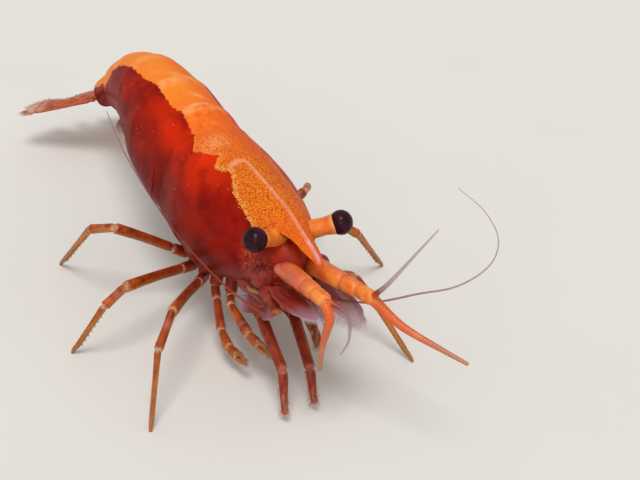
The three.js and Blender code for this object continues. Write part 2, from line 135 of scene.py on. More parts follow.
# %% The wrapped outlet
class Wire:
    """The outlet of a node, which adds Math nodes as it is reckoned with."""

    def __init__(self, tree, socket):
        self.tree = tree
        self.socket = socket

    def node(self, kind, settings=None, values=None, out=0):
        node = self.tree.nodes.new("ShaderNode" + kind)
        for name, setting in (settings or {}).items():
            if name == "stops":
                fill_ramp(node.color_ramp, setting)
            else:
                setattr(node, name, setting)
        for key, value in (values or {}).items():
            if isinstance(value, Wire):
                self.tree.links.new(value.socket, node.inputs[key])
            else:
                node.inputs[key].default_value = value
        return Wire(self.tree, node.outputs[out])

    def math(self, operation, *terms):
        return self.node("Math", {"operation": operation}, dict(enumerate(terms)))

    def __add__(self, other):
        return self.math("ADD", self, other)

    __radd__ = __add__

    def __sub__(self, other):
        return self.math("SUBTRACT", self, other)

    def __rsub__(self, other):
        return self.math("SUBTRACT", other, self)

    def __mul__(self, other):
        return self.math("MULTIPLY", self, other)

    __rmul__ = __mul__

    def __abs__(self):
        return self.math("ABSOLUTE", self)

    def rise(self, low, high):
        """0 below low, 1 above high, with a soft rise between."""
        settings = {"interpolation_type": "SMOOTHSTEP"}
        return self.node("MapRange", settings, {"Value": self, "From Min": low, "From Max": high})

    def fall(self, low, high):
        """1 below low, 0 above high."""
        return 1 - self.rise(low, high)

    def near(self, place, inner, outer):
        """1 within inner of a place, 0 beyond outer."""
        return abs(self - place).fall(inner, outer)

    def curve(self, stops):
        """A number read from stops of place and height, through a ramp."""
        first, last = stops[0][0], stops[-1][0]
        top = max(height for _, height in stops)
        place = self.node("MapRange", {}, {"Value": self, "From Min": first, "From Max": last})
        greys = [((x - first) / (last - first), (height / top,) * 3) for x, height in stops]
        return self.node("ValToRGB", {"stops": greys}, {"Fac": place}) * top

    def noise(self, size, detail=2.0, roughness=0.5, seed=0.0):
        """Soft noise over a vector in millimetres, its lumps about size across."""
        values = {"Vector": self, "W": seed, "Scale": 1 / size, "Detail": detail, "Roughness": roughness}
        return self.node("TexNoise", {"noise_dimensions": "4D"}, values)

    def cells(self, size):
        """The distance to the nearest of many scattered points, about size apart in millimetres."""
        return self.node("TexVoronoi", {}, {"Vector": self, "Scale": 1 / size}, "Distance")

    def scaled(self, factors):
        """A vector stretched or squeezed along its axes."""
        return self.node("VectorMath", {"operation": "MULTIPLY"}, {0: self, 1: factors})


# %% Ramps and tones
def fill_ramp(ramp, stops):
    """Puts stops of place and colour into a ramp."""
    while len(ramp.elements) < len(stops):
        ramp.elements.new(1.0)
    for element, (place, colour) in zip(ramp.elements, stops):
        element.position = place
        element.color = (*colour, 1)


def tone(red, green, blue):
    """A colour from its everyday 0 to 255 numbers, as light values."""
    parts = [x / 255 for x in (red, green, blue)]
    return tuple(x / 12.92 if x <= 0.04045 else ((x + 0.055) / 1.055) ** 2.4 for x in parts) + (1.0,)


print("a middle grey as light values:", [round(x, 3) for x in tone(128, 128, 128)])

# %% [markdown]
# A material starts as a Principled shader. What is the same all over is set on its own
# sockets. What changes is linked. The masks read a vector that each mesh carries, named
# lie: its distance round and along the part in millimetres. So a marking follows the plate
# and not the room. A shrimp's colours lie over one another in thin coats, and the finish is
# written so: a first colour, then coats, each with the mask that says where it lies. Flesh
# also lets light bleed under its surface, the red furthest.

# %% A finish
FINISHES = {}


class Finish:
    """A material with a Principled shader, and the vector that its patterns lie on."""

    def __init__(self, name, bleed=None, **constants):
        """bleed is how much light bleeds, how far in millimetres, and each colour's share of that."""
        material = bpy.data.materials.new(name)
        material.use_nodes = True
        self.tree = material.node_tree
        self.shader = self.tree.nodes["Principled BSDF"]
        self.start = Wire(self.tree, None)
        self.lie = self.start.node("Attribute", {"attribute_name": "lie"}, {}, "Vector")
        split = self.start.node("SeparateXYZ", {}, {"Vector": self.lie})
        self.round, self.along, self.depth = (Wire(self.tree, outlet) for outlet in split.socket.node.outputs)
        if bleed:
            weight, distance, shares = bleed
            constants |= {"Subsurface_Weight": weight, "Subsurface_Scale": distance * MM,
                          "Subsurface_Radius": shares}
        for socket, value in constants.items():
            self.shader.inputs[socket.replace("_", " ")].default_value = value
        FINISHES[name] = material

    def painted(self, name):
        """A number that each mesh carries at its points."""
        return self.start.node("Attribute", {"attribute_name": name}, {}, "Fac")

    def mix(self, mask, first, second):
        """The second colour where the mask is 1."""
        return self.start.node("Mix", {"data_type": "RGBA"}, {0: mask, 6: first, 7: second}, 2)

    def coats(self, colour, *coats):
        """A colour with coats over it, each a mask and a colour."""
        for mask, coat in coats:
            colour = self.mix(mask, colour, coat)
        return colour

    def link(self, **wires):
        """Links what changes over the surface to the shader's own sockets."""
        for socket, wire in wires.items():
            self.tree.links.new(wire.socket, self.shader.inputs[socket.replace("_", " ")])

    def bump(self, height, distance, strength=0.5):
        """Relief: a height from 0 to 1 over a distance in millimetres."""
        values = {"Height": height, "Distance": distance * MM, "Strength": strength}
        self.link(Normal=self.start.node("Bump", {}, values))


print("what a finish can do:", ", ".join(name for name in vars(Finish) if name[0] != "_"))

# %% [markdown]
# The floor is a plain sheet, a little uneven in tone, as paper is. It lies on the stage and
# not on the animal, so that it is no piece of the model.

# %% Floor
FLOOR_SIZE = 0.5
floor_finish = Finish("pale_floor", Roughness=0.85)
speckle = floor_finish.start.node("NewGeometry", {}, {}, "Position").scaled((1000,) * 3).noise(9.0, 3)
floor_finish.link(Base_Color=floor_finish.mix(speckle, tone(224, 221, 215), tone(229, 226, 221)))
floor_mesh = bpy.data.meshes.new("floor")
corners = [(x * FLOOR_SIZE, y * FLOOR_SIZE, 0) for x, y in ((-1, -1), (1, -1), (1, 1), (-1, 1))]
floor_mesh.from_pydata(corners, [], [(0, 1, 2, 3)])
floor_mesh.materials.append(FINISHES["pale_floor"])
floor = bpy.data.objects.new("floor", floor_mesh)
bpy.context.scene.collection.objects.link(floor)
print("floor", FLOOR_SIZE * 2, "m wide")

# %% [markdown]
# ## Mesh tools
# Nearly every part of a shrimp is either a thin curved plate or a rod with rings. Both are
# grids of points: rows along the part, and columns round it. They could be pushed into shape
# by hand from a cube, but a leg is then never quite like its neighbour. Grids worked out from
# lines and sizes are even, and one number changes all of them. One gatherer takes any number
# of grids, keeps the painted values of each point, and makes one smooth mesh of them.

# %% Lines
def smooth_line(points, count):
    """Points at even steps along a smooth curve through points."""
    line = np.asarray(points, float)
    line = np.vstack([2 * line[0] - line[1], line, 2 * line[-1] - line[-2]])
    dense = []
    for p0, p1, p2, p3 in zip(line, line[1:], line[2:], line[3:]):
        knots = np.cumsum([0] + [np.linalg.norm(b - a) ** 0.5 for a, b in ((p0, p1), (p1, p2), (p2, p3))])
        t = np.linspace(knots[1], knots[2], 60, endpoint=False)[:, None]

        def between(a, b, i, j):
            return (knots[j] - t) / (knots[j] - knots[i]) * a + (t - knots[i]) / (knots[j] - knots[i]) * b

        near, middle, far = between(p0, p1, 0, 1), between(p1, p2, 1, 2), between(p2, p3, 2, 3)
        dense.append(between(between(near, middle, 0, 2), between(middle, far, 1, 3), 1, 2))
    dense = np.vstack(dense + [line[-2:-1]])
    reach = np.r_[0, np.cumsum(np.linalg.norm(np.diff(dense, axis=0), axis=1))]
    stations = np.linspace(0, 1, count) * reach[-1]
    return np.column_stack([np.interp(stations, reach, dense[:, k]) for k in range(3)])


def frames(line, facing=(0, 0, 1)):
    """The directions along a line, to its side and over it, carried along without twist."""
    along = unit(np.gradient(line, axis=0))
    side = np.zeros_like(along)
    side[0] = unit(np.cross(facing, along[0]))
    for i in range(1, len(line)):
        side[i] = unit(side[i - 1] - along[i] * side[i - 1].dot(along[i]))
    return along, side, np.cross(along, side)


def soft(x, low, high):
    """The same soft rise as in the shaders, for numbers."""
    t = np.clip((np.asarray(x, float) - low) / (high - low), 0, 1)
    return t * t * (3 - 2 * t)


print("a line of five points:", smooth_line([[0, 0, 0], [0, 1, 0.5], [0, 2, 0]], 5).round(2).tolist())

# %% The gatherer
class Gather:
    """The points, faces and painted values of one piece."""

    def __init__(self):
        self.points = []
        self.lies = []
        self.pale = []
        self.tip = []
        self.patch = []
        self.faces = []
        self.count = 0

    def grid(self, points, lie, pale=0.0, tip=0.0, closed=True, capped=True, patch=None, flip=False):
        """Rows of points. closed joins the last column to the first, capped fills the end rings."""
        rows, columns = points.shape[:2]
        index = self.count + np.arange(rows * columns).reshape(rows, columns)
        if closed:
            index = np.column_stack([index, index[:, :1]])
        quads = np.stack([index[:-1, :-1], index[:-1, 1:], index[1:, 1:], index[1:, :-1]], -1).reshape(-1, 4)
        faces = quads[:, ::-1].tolist() if flip else quads.tolist()
        if closed and capped:
            ends = [index[0, :-1][::-1].tolist(), index[-1, :-1].tolist()]
            faces += [end[::-1] for end in ends] if flip else ends
        self.faces += faces
        size = (rows, columns)
        self.points.append(points.reshape(-1, 3))
        self.lies.append(np.broadcast_to(lie, size + (3,)).reshape(-1, 3))
        self.pale.append(np.broadcast_to(pale, size).reshape(-1))
        self.tip.append(np.broadcast_to(tip, size).reshape(-1))
        self.patch.append(np.zeros((rows * columns, 2)) if patch is None
                          else np.broadcast_to(patch, size + (2,)).reshape(-1, 2))
        self.count += rows * columns

    def make(self, name, finish, replaces=(), coat=False, weld=0.0):
        """The mesh object, riding on the body."""
        mesh = bpy.data.meshes.new(name)
        mesh.from_pydata(to_row(np.vstack(self.points)).tolist(), [], self.faces)
        for key, kind, field, data in (
                ("lie", "FLOAT_VECTOR", "vector", np.vstack(self.lies)),
                ("pale", "FLOAT", "value", np.concatenate(self.pale)),
                ("tip", "FLOAT", "value", np.concatenate(self.tip))):
            mesh.attributes.new(key, kind, "POINT").data.foreach_set(field, data.astype(np.float32).ravel())
        if coat:
            corner_points = np.zeros(len(mesh.loops), int)
            mesh.loops.foreach_get("vertex_index", corner_points)
            uv = np.vstack(self.patch)[corner_points]
            mesh.uv_layers.new(name="OFBake").data.foreach_set("uv", uv.astype(np.float32).ravel())
        mesh.materials.append(FINISHES[finish])
        mesh.shade_smooth()
        piece = bpy.data.objects.new(name, mesh)
        bpy.context.scene.collection.objects.link(piece)
        if weld:
            joiner = piece.modifiers.new("weld", "WELD")
            joiner.merge_threshold = weld * MM
            settle(piece)
        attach(piece, "root")
        if replaces:
            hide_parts(*replaces)
        print(f"{name}: {len(piece.data.polygons)} faces")


def settle(piece):
    """Applies the modifiers of a piece to its mesh."""
    seen = piece.evaluated_get(bpy.context.evaluated_depsgraph_get())
    mesh = bpy.data.meshes.new_from_object(seen)
    piece.modifiers.clear()
    piece.data = mesh


print("a gatherer keeps", ", ".join(vars(Gather())))

# %% [markdown]
# A limb is a chain of rods. A rod is a stack of rings round a line, oval where it is flat. A
# joint is a rod with a narrow neck, a waist and a rounded end, pale where it meets the next,
# because the skin between two joints is thin there.

# %% Rods
def rings(line, wide, thick=None, sides=12, facing=(0, 0, 1)):
    """Rings round a line: wide to its sides, thick over it."""
    line = np.asarray(line, float)
    _, side, over = frames(line, facing)
    thick = wide if thick is None else thick
    angle = 2 * np.pi * np.arange(sides) / sides
    wide = np.broadcast_to(wide, len(line))[:, None, None]
    thick = np.broadcast_to(thick, len(line))[:, None, None]
    ring = side[:, None] * np.cos(angle)[:, None] * wide + over[:, None] * np.sin(angle)[:, None] * thick
    return line[:, None] + ring


def rod_lie(line, wide, sides, part=0.0):
    """The lie of a rod: round it, along it, and a number that sets each rod's pattern apart."""
    along = np.r_[0, np.cumsum(np.linalg.norm(np.diff(line, axis=0), axis=1))]
    angle = 2 * np.pi * (np.abs(np.arange(sides) - sides / 2)) / sides
    radius = np.broadcast_to(wide, len(line))
    return np.stack(np.broadcast_arrays(radius[:, None] * angle, along[:, None], part), -1)


def tube(gather, line, wide, thick=None, sides=12, facing=(0, 0, 1), part=0.0, pale=0.0, tip=0.0):
    """A closed rod. pale and tip are one number each, or one for each point of the line."""
    pale, tip = (np.broadcast_to(value, len(line))[:, None] for value in (pale, tip))
    gather.grid(rings(line, wide, thick, sides, facing), rod_lie(line, wide, sides, part), pale, tip)


print("rings of a short rod:", rings([[0, 0, 0], [0, 1, 0]], 0.2).shape)

# %% Joints
JOINT_STATIONS = np.array([0, 0.004, 0.012, 0.03, 0.06, 0.1, 0.2, 0.35, 0.5,
                           0.65, 0.8, 0.9, 0.95, 0.98, 0.993, 1])


def segment(gather, start, end, first, last, facing=(0, 0, 1), flat=0.85, waist=0.1, bow=0.0,
            part=0.0, tips=(0.0, 0.0), neck=0.8, seam=1.0):
    """One joint of a limb, from a size first to a size last. flat is its thickness to its width,
    waist how much narrower its middle is, bow how far it arches, neck how narrow its start is,
    seam how pale both its ends are, and tips its painted tip at each end."""
    start, end = np.asarray(start, float), np.asarray(end, float)
    length = np.linalg.norm(end - start)
    t = JOINT_STATIONS
    line = start + (end - start) * t[:, None]
    _, _, over = frames(line, facing)
    line = line + over * (bow * np.sin(np.pi * t))[:, None]
    head = first * 0.5 / length
    tail = last * 0.55 / length
    size = first + (last - first) * t
    size = size * (1 - waist * np.sin(np.pi * t)) * (neck + (1 - neck) * soft(t, 0, 2.2 * head))
    size = size * np.sqrt(np.clip(1 - ((head - t) / head).clip(0, 1) ** 2, 0.0004, 1))
    size = size * np.sqrt(np.clip(1 - ((t - 1 + tail) / tail).clip(0, 1) ** 2, 0.0004, 1))
    reach = t * length
    pale = np.maximum(1 - soft(reach, 0.03, 0.17), soft(reach, length - 0.12, length - 0.01))
    tube(gather, line, size, size * flat, 16, facing, part, seam * pale, tips[0] + (tips[1] - tips[0]) * t)


print("rods and joints ready, with", len(JOINT_STATIONS), "rings to a joint")

# %% [markdown]
# ## The line of the back
# Every plate of the trunk hangs from one line along the back, nearly level as far as the
# hump over the third segment of the abdomen, then falling to the tail fan. The rostrum
# carries the same line forwards, dipping a little. A place on the trunk is then two numbers:
# how far it is behind the front edge of the carapace, and its angle round from the top. The
# plates could be modelled flat and bent with a Curve modifier. Working out their points on
# the line itself keeps every plate at a known depth under or over its neighbours.

# %% The back
ROSTRUM_LENGTH = 3.12
FRONT_EDGE = [0, 0, 7.32]
BACK_LINE = [[0, -3.0, 6.42], [0, -2.5, 6.69], [0, -1.85, 6.88], [0, -0.9, 7.11], FRONT_EDGE, [0, 3.5, 7.57],
             [0, 7.0, 7.74], [0, 11.2, 8.08], [0, 14.15, 7.92], [0, 16.3, 7.11], [0, 17.96, 6.0],
             [0, 19.3, 4.92], [0, 20.5, 4.05], [-0.05, 21.7, 3.3]]
CARAPACE = {"length": 7.0, "half_width": 2.32, "depth": 4.97}
ABDOMEN = {"half_width": 2.01, "depth": 4.69, "taper": 0.48}
SEGMENT_LENGTHS = [1.6, 2.6, 3.0, 2.3, 2.0]
SEGMENT_STARTS = np.r_[CARAPACE["length"], CARAPACE["length"] + np.cumsum(SEGMENT_LENGTHS)]
TAIL_LENGTH = 3.2

back_points = smooth_line(BACK_LINE, 1600)
back_reach = np.r_[0, np.cumsum(np.linalg.norm(np.diff(back_points, axis=0), axis=1))]
back_reach -= back_reach[np.argmin(np.linalg.norm(back_points - FRONT_EDGE, axis=1))]


def back_place(s):
    """The point of the back's line at a distance s behind the carapace's front edge."""
    return np.stack([np.interp(s, back_reach, back_points[:, k]) for k in range(3)], -1)


def back_at(s):
    """The back's place at a distance s, and the directions to the left and up there."""
    rearward = unit(back_place(s + 0.15) - back_place(s - 0.15))
    left = unit(np.cross(rearward, [0, 0, 1]))
    return back_place(s), left, np.cross(left, rearward)


print("back from", back_reach[0].round(2), "to", back_reach[-1].round(2), "mm")

# %% Sizes along the trunk
def carapace_size(s):
    """Half the width and the whole depth of the carapace at a distance s."""
    t = s / CARAPACE["length"]
    swell = np.sin(np.clip(t * 1.55, -0.4, 1) * np.pi / 2)
    return (CARAPACE["half_width"] * (0.58 + 0.42 * swell) * (1 - 0.09 * soft(s, 5.2, 7.1)),
            CARAPACE["depth"] * (0.72 + 0.28 * swell - 0.04 * soft(s, 5.0, 7.0)))


def abdomen_size(s):
    """Half the width and the whole depth of the abdomen."""
    t = (s - CARAPACE["length"]) / sum(SEGMENT_LENGTHS)
    return (ABDOMEN["half_width"] * (1 - ABDOMEN["taper"] * np.clip((t - 0.35) / 0.65, 0, 1) ** 1.3),
            ABDOMEN["depth"] * (1 - ABDOMEN["taper"] * np.clip((t - 0.45) / 0.55, 0, 1) ** 1.2))


def trunk_size(s):
    """The carapace's size in front of its rear edge, and the abdomen's behind it."""
    in_front = s < CARAPACE["length"]
    return tuple(np.where(in_front, front, rear) for front, rear in zip(carapace_size(s), abdomen_size(s)))


print("half-width and depth at the hump:", [float(size.round(2)) for size in trunk_size(12.0)])

# %% Points of the trunk
def bump_at(distance, turn, place, spread, turn_place, turn_spread):
    """1 at a place and an angle in degrees, dying away round it."""
    return np.exp(-((distance - place) / spread) ** 2 - ((turn - turn_place) / turn_spread) ** 2)


def trunk(s, angle, lift=0.0, size=None):
    """Points of the trunk's surface, lifted off it by lift. The lower flanks are full at the middle."""
    s, angle = np.broadcast_arrays(np.asarray(s, float), np.asarray(angle, float))
    place, left, over = back_at(s)
    half_width, depth = trunk_size(s) if size is None else size
    lift = lift + 0.42 * bump_at(s, np.degrees(np.abs(angle)), 8.2, 3.4, 122, 28)
    sine, cosine = np.sin(angle), np.cos(angle)
    reach = np.where(cosine >= 0, sine, np.sign(sine) * np.abs(sine) ** 0.6)
    across = half_width * reach + lift * sine
    rise = depth / 2 * (cosine - 1) + lift * cosine
    return place + left * across[..., None] + over * rise[..., None]


def trunk_lie(s, angle):
    """Round the trunk, along it, and how far below the back, in millimetres."""
    s, angle = np.broadcast_arrays(np.asarray(s, float), np.asarray(angle, float))
    half_width, depth = trunk_size(s)
    return np.stack([angle * (half_width + depth / 2) / 2, s, depth / 2 * (1 - np.cos(angle))], -1)


print("a point of the flank:", trunk(6.0, math.radians(90)).round(2).tolist())

# %% [markdown]
# ## The shell's colours
# The shell is deep red on its sides, with a golden-orange stripe along the back. The
# stripe's edge steps in and out in a zigzag. A plain noise would put those steps anywhere. A
# curve of the stripe's half-width along the body puts each large step in its own place, and
# two noises fray the edge. The left side of the stripe is plainer.

# %% Where the stripe lies
STRIPE = [(-3, 1.6), (0.9, 1.6), (1.7, 1.43), (2.4, 1.34), (2.95, 1.12), (3.5, 0.93), (4.1, 1.2),
          (4.35, 1.24), (4.8, 0.84), (5.4, 1.2), (6.1, 1.46), (6.8, 0.98), (8.8, 0.92), (10.1, 1.12),
          (11.2, 0.95), (12.2, 1.2), (13.4, 1.15), (15.2, 1.2), (16.6, 1.45), (18.2, 1.75), (21.7, 1.3)]
STRIPE_JOIN = 9
STRIPE_LEFT = 0.92


def stripe_mask(finish):
    """1 on the golden stripe, with the distance inside its edge in millimetres."""
    first = finish.along.curve(STRIPE[:STRIPE_JOIN + 1])
    second = finish.along.curve(STRIPE[STRIPE_JOIN:])
    join = STRIPE[STRIPE_JOIN][0]
    behind = finish.along.rise(join - 0.01, join + 0.01)
    half = first * (1 - behind) + second * behind
    leftward = finish.round.rise(-0.3, 0.3)
    half = half * (1 - 0.6 * leftward) + STRIPE_LEFT * leftward
    wander = finish.lie.noise(0.9, 2, 0.6, seed=3.0) - 0.5
    ragged = finish.lie.noise(0.16, 3, 0.7, seed=7.0) - 0.5
    inside = half + wander * 0.5 + ragged * 0.34 - abs(finish.round)
    return inside.rise(-0.025, 0.025), inside


shell = Finish("red_shell", bleed=(0.1, 0.4, (1.0, 0.3, 0.12)), Specular_IOR_Level=0.03,
               Coat_Weight=0.03, Coat_Roughness=0.15)
stripe, inside = stripe_mask(shell)
cloud = shell.lie.noise(1.6, 3, 0.55, seed=5.0)
fine_cloud = shell.lie.noise(0.35, 3, 0.6, seed=9.0)
print("the stripe's half-width has", len(STRIPE), "stops")

# %% [markdown]
# On the carapace the stripe is a fine maze of gold lines over brown, paler at its edge and
# redder towards the rostrum, with a painted highlight near its rear edge. Noise near its middle
# value makes such a maze. On the abdomen the stripe is smoother. Pale bands of painted sheen
# cross it where the rings catch the light, and the rear part of each ring has a painted highlight.

# %% The stripe's gold
gold_lines = abs(shell.lie.noise(0.085, 1.0, 0.45, seed=1.0) - 0.5).rise(0.01, 0.085)
# A painted highlight: a pale gold patch near the carapace's rear edge, right of the middle.
rear_highlight = shell.along.near(5.75, 0.15, 0.8) * abs(shell.round + 0.55).fall(0.25, 0.8)
maze = shell.coats(
    shell.mix(gold_lines, tone(172, 56, 8), tone(240, 130, 36)),
    (inside.fall(0.02, 0.3) * gold_lines * 0.6, tone(248, 188, 96)),
    (shell.along.rise(3.4, 6.2) * 0.6, tone(238, 100, 38)),
    (shell.round.rise(0.1, 1.2) * 0.4, tone(204, 62, 16)),
    (rear_highlight * gold_lines * 0.45, tone(252, 186, 112)),
    (shell.along.fall(-1.2, 0.8) * 0.6, tone(226, 94, 30)))

# Painted sheen: pale slanting bands across the abdomen where the rings catch the light.
slant = shell.along + 0.7 * shell.round
painted_sheen = slant.near(11.75, 0.0, 0.36) + 0.6 * slant.near(9.75, 0.0, 0.3)
painted_sheen = painted_sheen + 0.8 * shell.along.near(8.78, 0.0, 0.2)
painted_sheen = painted_sheen * abs(shell.round).fall(0.35, 0.95) * (0.5 + 0.5 * fine_cloud.rise(0.3, 0.6))
smooth_orange = shell.coats(
    shell.mix(fine_cloud.rise(0.3, 0.75), tone(240, 96, 24), tone(246, 132, 46)),
    (shell.along.rise(7.6, 10.4) * 0.7, tone(246, 142, 50)),
    (shell.round.rise(0.0, 0.9) * 0.45, tone(232, 76, 14)),
    # A painted highlight on the rear part of each ring.
    (shell.painted("tip").rise(0.62, 0.95) * fine_cloud.rise(0.25, 0.7) * 0.55, tone(252, 178, 112)),
    (painted_sheen * cloud.rise(0.35, 0.62) * 0.6, tone(255, 206, 156)))
orange = shell.mix(shell.along.fall(6.3, 7.3), smooth_orange, maze)
print("stripe with", len(shell.tree.nodes), "nodes")

# %% [markdown]
# Painted shade darkens the sides lower down, more so behind, and the sides are browner
# behind. High up near the carapace's rear edge they are a brighter orange. The muzzle is paler
# and pinker, its lip is speckled, and small dark dots and rarer pale specks are scattered all over.

# %% The red sides
rear = shell.along.rise(7.5, 15.5)
glow = shell.along.near(6.6, 1.2, 5.0) * shell.depth.fall(0.35, 1.9)
bloom = shell.lie.noise(0.45, 3, 0.6, seed=13.0).rise(0.56, 0.7)
muzzle = shell.along.fall(0.4, 2.6) * shell.depth.rise(2.2, 3.6)
lip = shell.along.fall(0.1, 0.9) * shell.depth.rise(0.9, 1.8)
lip_specks = shell.lie.noise(0.16, 2, 0.6, seed=4.0).rise(0.4, 0.62)
dots = shell.lie.cells(0.13).fall(0.12, 0.4)
specks = shell.lie.cells(0.36).fall(0.045, 0.1) * shell.lie.noise(0.8, 2, 0.5, seed=11.0).rise(0.42, 0.56)
red = shell.coats(
    shell.mix(cloud.rise(0.3, 0.72), tone(118, 10, 4), tone(166, 26, 6)),
    (glow * cloud.rise(0.2, 0.6), tone(220, 46, 2)),
    # Painted shade: the sides darken downwards, more so behind.
    (shell.depth.rise(0.9, 4.2) * (0.5 + 0.35 * rear), tone(72, 12, 8)),
    (rear * fine_cloud.rise(0.4, 0.7) * 0.3, tone(112, 44, 34)),
    (bloom * rear * 0.3, tone(184, 104, 84)),
    (muzzle * 0.6, tone(146, 72, 72)),
    (lip * lip_specks * 0.8, tone(206, 96, 66)),
    (dots * fine_cloud.rise(0.35, 0.65) * 0.35, tone(88, 8, 6)),
    (specks * 0.7, tone(244, 178, 150)))
print("sides and stripe with", len(shell.tree.nodes), "nodes")

# %% [markdown]
# A pale pink painted highlight runs along the crest of the rostrum and the middle of the
# back. It ends in a small pale arc of painted highlight on the right, where the shell dips.
# The rostrum's tip is redder, and the walls under its roof are a plain brown red.

# %% Crest, and the whole shell
# Painted highlights: a pale pink line along the crest and a small arc on the right.
aside = shell.round + 0.3
arc_highlight = shell.along.near(4.0 - 1.1 * aside * aside, 0.02, 0.3)
arc_highlight = arc_highlight * shell.round.rise(-0.95, -0.7) * shell.round.fall(-0.1, 0.1)
crest_highlight = abs(shell.round).fall(0.02, 0.14) * shell.along.fall(3.7, 4.0) * shell.along.rise(-2.95, -2.65)
crest_highlight_pink = shell.mix(shell.along.rise(-2.4, -0.6), tone(238, 196, 200), tone(248, 162, 128))
orange = shell.coats(
    orange,
    (shell.along.fall(-3.0, -2.3) * 0.5, tone(206, 54, 30)),
    ((crest_highlight + arc_highlight) * (0.4 + 0.3 * fine_cloud.rise(0.35, 0.6)), crest_highlight_pink))
colour = shell.coats(red, (stripe, orange), (shell.painted("pale"), tone(150, 44, 22)))
shell.link(Base_Color=colour, Roughness=0.3 + 0.2 * fine_cloud + 0.08 * stripe)
shell.bump(0.5 * gold_lines * stripe + 0.35 * fine_cloud + 0.15 * shell.lie.noise(0.07, 2), 0.03, 0.45)
print("shell finish with", len(shell.tree.nodes), "nodes")

# %% [markdown]
# ## Carapace and rostrum
# The carapace is one plate from the rostrum's tip to the first ring of the abdomen, and open
# below. Its front edge bends in round each eye, comes forward to a small spine beside the
# feelers, and rounds off to the lower edge. A grid of rows between a front curve and a rear
# curve gives that outline. The columns crowd towards the top, where the thin crest with its
# teeth needs them. A solid cut to this outline would show saw marks of faces along the edge,
# and a grid that ends on the curve has a clean one. The rostrum's rows narrow from the two
# eye notches to the tip. Its sides fold under to a keel, so that it is as stiff as it looks.

# %% Carapace outline
EDGE_ANGLE = math.radians(151)
NOTCH_ANGLE = math.radians(45)
NOTCH_PLACE = -0.05
COLUMNS = 181
columns = np.linspace(-1, 1, COLUMNS)
angles = EDGE_ANGLE * (0.32 * columns + 0.68 * columns ** 3)
degrees = np.degrees(np.abs(angles))
TOOTH_LENGTH = 0.27


def crest_height(s, across):
    """The low crest along the middle, with saw teeth from just behind the eyes to the tip."""
    height = np.interp(s, [-3.0, -2.6, -1.0, 1.0, 2.5, 4.1], [0.0, 0.06, 0.1, 0.09, 0.06, 0.0])
    along_tooth = ((1.7 - s) / TOOTH_LENGTH) % 1.0
    teeth = 0.06 * along_tooth ** 2 * soft(s, -2.75, -2.4) * (1 - soft(s, 1.4, 1.7))
    return height * np.exp(-(across / 0.085) ** 2) + teeth * np.exp(-(across / 0.04) ** 2)


front_edge = np.interp(degrees, [0, 45, 48, 52, 58, 64, 69, 76, 92, 112, 128, 140, 147, 151],
                       [NOTCH_PLACE, NOTCH_PLACE, 0.0, 0.03, -0.08, -0.2, -0.32, 0.08, 0.06, 0.1, 0.4,
                        1.0, 1.6, 2.5])
rear_edge = np.interp(degrees, [0, 60, 110, 138, 147, 151], [7.1, 7.06, 6.95, 6.75, 6.35, 5.7])


def carapace_points(s, angle):
    """The plate with its crest, a swelling over the gills and a shallow groove in front of it."""
    size = carapace_size(s)
    lift = crest_height(s, size[0] * np.sin(angle))
    turn = np.degrees(np.abs(angle))
    gills = bump_at(s, turn, 4.4, 1.9, 98, 34)
    groove = bump_at(s, turn, 2.3 + 0.016 * (turn - 60), 0.3, 84, 30)
    spine = bump_at(s, turn, -0.2, 0.4, 69, 4)
    return trunk(s, angle, lift + 0.08 * gills - 0.05 * groove + 0.07 * spine, size)


ROWS = 130
row_share = np.linspace(0, 1, ROWS)[:, None]
row_share = row_share - 0.12 * np.sin(2 * np.pi * row_share) / (2 * np.pi)
plate_s = front_edge + (rear_edge - front_edge) * row_share
print("carapace grid:", plate_s.shape)

# %% [markdown]
# A real plate is thin, and its edge is a little thicker and turns under. A Solidify modifier
# would double all of it. Only the edges are seen from the side, so only they are rolled, and
# the body's skin closes the view under the plate.

# %% A plate with rolled edges
SHELL_THICKNESS = 0.07
EDGE_ROLL = 0.22


def rolled_edge(edge, beside, inward, roll):
    """Rows from the edge of a plate, round it and on under it for the length roll, and further in
    the longer that is. beside is the next row of the plate, and inward points off its outer face."""
    back = unit(beside - edge)
    return np.stack([edge,
                     edge + inward * SHELL_THICKNESS * 0.5 - back * SHELL_THICKNESS * 0.2,
                     edge + inward * SHELL_THICKNESS + back * SHELL_THICKNESS * 0.3,
                     edge + inward * (SHELL_THICKNESS + 0.02 + 0.3 * roll ** 2) + back * roll])


def faces_out(points):
    """The outward direction at each point of a grid."""
    normal = np.cross(np.gradient(points, axis=1), np.gradient(points, axis=0))
    return unit(normal)


def plate(gather, points, lie, tip=0.0, sides=("front", "rear", "left", "right"), roll=EDGE_ROLL):
    """A thin plate with rolled edges, as one grid per side and one for its face."""
    outward = faces_out(points)
    half_way = (points.shape[0] // 2, points.shape[1] // 2)
    if outward[half_way].dot(points[half_way] - points.mean((0, 1))) < 0:
        outward = -outward
    tip = np.broadcast_to(tip, points.shape[:2])
    gather.grid(points, lie, 0.0, tip, closed=False, flip=True)
    edges = {"front": (points[0], points[1], outward[0], lie[0], tip[0]),
             "rear": (points[-1], points[-2], outward[-1], lie[-1], tip[-1]),
             "left": (points[:, 0], points[:, 1], outward[:, 0], lie[:, 0], tip[:, 0]),
             "right": (points[:, -1], points[:, -2], outward[:, -1], lie[:, -1], tip[:, -1])}
    for name in sides:
        edge, beside, out, edge_lie, edge_tip = edges[name]
        gather.grid(rolled_edge(edge, beside, -out, roll), edge_lie, 0.0, edge_tip, closed=False,
                    flip=name in ("rear", "left"))


print("rolled edges are", SHELL_THICKNESS, "mm thick")

# %% Carapace mesh
carapace = Gather()
plate_points = carapace_points(plate_s, angles)
plate(carapace, plate_points, trunk_lie(plate_s, angles), sides=("rear", "left", "right"), roll=0.7)
